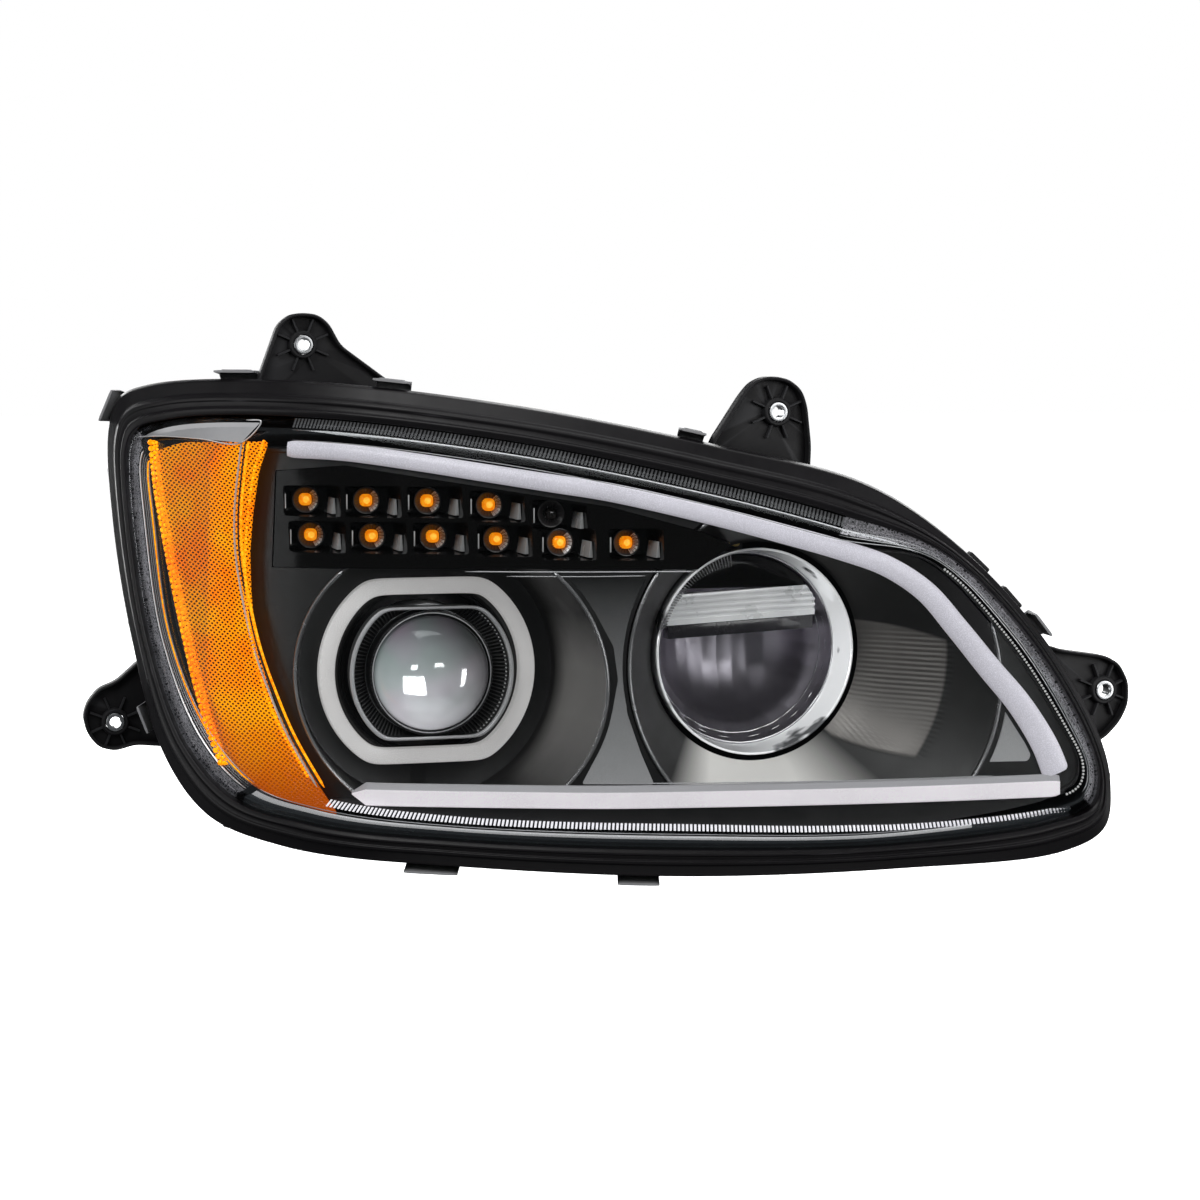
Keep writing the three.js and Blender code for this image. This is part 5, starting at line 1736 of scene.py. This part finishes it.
def high_bay_finish(name):
    """The high bay's cone: black, with a warm metallic fluted field, and below the ring a polished floor
    whose reflection is painted near white into its colour.
    """
    m = Look(name)
    angle, radius = m.polar(HIGH)
    below = m.math("SUBTRACT", m.ramp(radius, 0.28, 0.03, 0.075, 0.133), angle)
    above = m.math("SUBTRACT", angle, m.ramp(radius, -0.84, -0.63, 0.08, 0.12))
    field = m.math("MULTIPLY", m.ramp(above, 0, 1, 0, 0.03), m.ramp(below, 0, 1, 0, 0.02))
    field = m.math("MULTIPLY", field, m.ramp(radius, 1, 0, 0.1195, 0.121))
    # Painted reflection: the near-white patch on the floor below the ring.
    painted_reflection = m.math("MULTIPLY", m.ramp(angle, 0, 1, -2.3, -2.0), m.ramp(angle, 1, 0, -1.3, -0.84))
    dark = m.mix(m.ramp(m.noise(16, 4), 0, 1), (0.009, 0.0088, 0.0086), (0.018, 0.0175, 0.017))
    base = m.mix(painted_reflection, m.mix(field, dark, (0.2, 0.19, 0.18)), (1.0, 0.98, 0.94))
    metal = m.math("ADD", m.math("MULTIPLY", field, 0.8), m.math("MULTIPLY", painted_reflection, 0.1))
    m.feed(Base_Color=base, Metallic=metal, Roughness=m.ramp(m.noise(60, 5), 0.3, 0.42))
    m.bump(m.noise(2200, 3), 0.3, 0.015)
    return m.material


def projector_glass(name):
    """Coated projector glass drawn opaque and mirror-smooth: its colour is a painted reflection, lighter with
    teal and pink tints on the outboard side and smoky dark on the inboard side, with a painted milky light
    over its lower part.
    """
    m = Look(name)
    across, up = m.place()
    cloud = m.noise(30, 2, 0.4)
    # Painted reflection: teal and pink tints, lighter on the outboard side, fading to dark inboard.
    painted_tint_mask = m.ramp(m.noise(26, 1, 0.3), 0, 1, 0.4, 0.6)
    outboard = m.mix(painted_tint_mask, (0.27, 0.33, 0.32), (0.35, 0.3, 0.36))
    base = m.mix(m.ramp(across, 0, 1, -0.155, -0.075), outboard, (0.04, 0.039, 0.037))
    # Painted light: a milky, clouded brightening over the lower part.
    painted_milky_light = m.math("MULTIPLY", m.ramp(up, 1, 0, -0.088, -0.03), m.ramp(cloud, 0.55, 1.0, 0.35, 0.65))
    base = m.mix(m.math("MULTIPLY", painted_milky_light, 0.7), base, (0.72, 0.7, 0.74))
    m.feed(Base_Color=base, Metallic=0.2, Roughness=m.ramp(m.noise(90, 4), 0.06, 0.1), Coat_Weight=1.0)
    m.bump(cloud, 0.1, 0.004)
    return m.material


def ring_finish(name):
    """Bright reflector plating with a few dark patches painted in as reflections of the room."""
    m = Look(name)
    base = m.mix(m.ramp(m.noise(26, 3, 0.5), 0, 1, 0.33, 0.38), (0.12, 0.12, 0.125), (0.93, 0.93, 0.94))
    m.feed(Base_Color=base, Metallic=0.4, Roughness=m.ramp(m.noise(50, 4), 0.12, 0.26))
    m.bump(m.noise(400, 3), 0.2, 0.005)
    return m.material


def mesh_finish(name):
    """A moulded net of fine pale lines over black, seen through the lens border; it glows faintly as painted
    light.
    """
    m = Look(name)
    cells = m.add("TexVoronoi", {}, feature="DISTANCE_TO_EDGE")
    m.put(cells.inputs["Scale"], 480)
    m.put(cells.inputs["Vector"], m.coords())
    lines = m.ramp(cells.outputs["Distance"], 1, 0, 0.08, 0.26)
    uneven = m.ramp(m.noise(60, 4), 0.45, 1.0)
    base = m.mix(m.math("MULTIPLY", lines, uneven), (0.01, 0.01, 0.011), (0.42, 0.41, 0.44))
    # Painted light: the net glows with its own colour.
    m.feed(Base_Color=base, Emission_Color=base, Emission_Strength=0.5)
    m.feed(Roughness=m.ramp(m.noise(90, 4), 0.2, 0.34))
    m.bump(lines, 0.4, 0.05)
    return m.material


MAT = {
    "housing": surface(
        "housing_plastic_looks", (0.004, 0.0036, 0.0042), 0.5,
        grain=1400, grain_depth=0.05, worn=(0.026, 0.026, 0.028), specular=0.2),
    "seal": surface(
        "seal_rubber_looks", (0.0065, 0.0058, 0.0068), 0.36,
        grain=2200, grain_depth=0.03, worn=(0.04, 0.038, 0.042), specular=0.22),
    "bezel": surface(
        "bezel_black_looks", (0.0115, 0.0113, 0.0113), 0.34,
        grain=2600, grain_depth=0.02, mottle=0.2, specular=0.4),
    "bay_low": low_bay_finish("low_bay_looks"),
    "ring": ring_finish("high_beam_ring_looks"),
    "cup": surface("led_cup_looks", (0.045, 0.04, 0.04), 0.2, grain=900, grain_depth=0.01, coat=0.5),
    "bay_high": high_bay_finish("high_bay_looks"),
    "satin": satin_finish("bezel_satin_looks"),
    "lip": surface("bay_lip_looks", (0.3, 0.3, 0.305), 0.24, metal=0.7, grain=1500, grain_depth=0.01),
    "lip_bright": surface(
        "trim_bead_looks", (0.75, 0.75, 0.76), 0.2,
        metal=0.6, grain=1500, grain_depth=0.01),
    "gloss": surface(
        "gloss_black_looks", (0.003, 0.0028, 0.0027), 0.12,
        grain=900, grain_depth=0.01, spread=0.05, specular=0.22),
    "crease": surface("crease_looks", (0.75, 0.68, 0.62), 0.15, grain=900, grain_depth=0.01, coat=0.8),
    "black": surface("black_plastic_looks", (0.012, 0.012, 0.0125), 0.35, grain=1500, grain_depth=0.03),
    "shroud": surface(
        "shroud_looks", (0.022, 0.022, 0.022), 0.32,
        grain=1500, grain_depth=0.02, worn=(0.09, 0.09, 0.09)),
    "rubber": surface(
        "cap_rubber_looks", (0.014, 0.014, 0.0145), 0.62,
        grain=1700, grain_depth=0.06, worn=(0.04, 0.04, 0.04)),
    "clip": surface(
        "clip_grey_looks", (0.17, 0.172, 0.176), 0.45,
        grain=1300, grain_depth=0.04, worn=(0.3, 0.3, 0.31)),
    "steel": surface("steel_looks", (0.52, 0.53, 0.54), 0.28, metal=1.0, grain=700, grain_depth=0.03),
    "cast": surface(
        "cast_aluminium_looks", (0.5, 0.51, 0.52), 0.45,
        metal=0.9, grain=800, grain_depth=0.08, worn=(0.75, 0.76, 0.77)),
    "bar": surface(
        "lamp_bar_looks", (0.9, 0.91, 0.92), 0.3,
        metal=0.2, grain=900, grain_depth=0.004, spread=0.06, mottle=0.2),
    "trim": surface("trim_ring_looks", (0.62, 0.62, 0.63), 0.3, metal=0.1, grain=1200, grain_depth=0.01),
    "chrome": surface(
        "chrome_looks", (0.9, 0.9, 0.91), 0.05,
        metal=1.0, grain=500, grain_depth=0.004, spread=0.03, mottle=0.03),
    "bowl": surface(
        "reflector_looks", (0.36, 0.34, 0.38), 0.36,
        metal=0.9, grain=300, grain_depth=0.01, spread=0.05),
    "segment": surface(
        "bright_segment_looks", (0.85, 0.85, 0.85), 0.3,
        metal=0.2, grain=900, grain_depth=0.01),
    "painted_glint": surface(
        "bright_facet_looks", (0.62, 0.62, 0.62), 0.25,
        metal=0.1, grain=900, grain_depth=0.01),
    "board": surface(
        "circuit_board_looks", (0.02, 0.07, 0.03), 0.4,
        grain=1200, grain_depth=0.03, coat=0.3),
    "board_dark": surface(
        "lamp_board_looks", (0.02, 0.018, 0.022), 0.25,
        grain=900, grain_depth=0.02, coat=0.5),
    "brass": surface("brass_looks", (0.62, 0.47, 0.2), 0.3, metal=1.0, grain=600, grain_depth=0.03),
    "halo": frosted("halo_looks", (0.72, 0.7, 0.69), 0.42),
    "guide": frosted("light_guide_looks", (0.63, 0.61, 0.67), 0.4),
    "guide_low": frosted("light_guide_low_looks", (0.82, 0.77, 0.81), 0.46, bevel=(0.3, 0.295, 0.31)),
    "amber": amber_plastic("amber_prism_looks"),
    "amber_bead": amber_plastic("amber_bead_looks", prisms=False),
    "led": glowing("amber_led_looks", (1.0, 0.36, 0.01), (0.95, 0.19, 0.0), 0.85),
    "led_core": glowing("led_core_looks", (1.0, 0.55, 0.06), (1.0, 0.42, 0.02), 1.0),
    "dark_led": surface(
        "dark_led_looks", (0.02, 0.015, 0.012), 0.12,
        grain=500, grain_depth=0.01, coat=0.5),
    "projector": projector_glass("projector_glass_looks"),
    "lens": clear_plastic("clear_lens_looks", (0.97, 0.975, 0.975), 0.4),
    "teeth": border_teeth("lens_teeth_looks"),
    "mesh": mesh_finish("border_mesh_looks"),
    "dots": frosted("border_dots_looks", (0.5, 0.5, 0.49), 0.4),
    "flank": frosted("border_flank_looks", (0.045, 0.05, 0.055), 0.5, 0.2),
    "band": frosted("border_band_looks", (0.62, 0.62, 0.63), 0.6, 0.2),
    "brow": surface(
        "lens_brow_looks", (0.3, 0.3, 0.31), 0.12,
        metal=0.4, grain=700, grain_depth=0.01, coat=0.6),
}

KEPT = {
    "cast": ("projector_housing", "low_beam_heat_sink", "high_beam_heat_sink"),
    "steel": ("cutoff_shield",),
    "chrome": ("low_beam_reflector",),
    "board": ("low_beam_led_board",),
    "black": ("low_beam_carrier", "high_beam_carrier"),
}


def dress_kept_nodes():
    for look, names in KEPT.items():
        for name in names:
            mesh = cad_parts[name].data
            for i in range(len(mesh.materials)):
                mesh.materials[i] = MAT[look]


camera()
floor()
seal()
lens = outer_lens()
lens_border()
housing()
clips()
bushings()
main_bezel()
valance()
satin_fields()
low_bay()
high_bay()
bay_lips()
halo()
turn_panel()
pocket_painted_glints()
turn_leds()
light_bars()
side_reflector()
projector = projector_lens()
lens_retainer()
low_beam_shroud()
low_beam_trim_ring()
ring = high_beam_ring()
high_beam_bowl()
bar = high_beam_bar()
high_beam_board()
high_beam_cover()
high_beam_edge()
studio(lens, projector, ring, bar)
caps()
connector()
driver_module()
vent_cap()
adjusters()
dress_kept_nodes()

view = bpy.context.scene.view_settings
view.view_transform = "Standard"
view.look = "None"
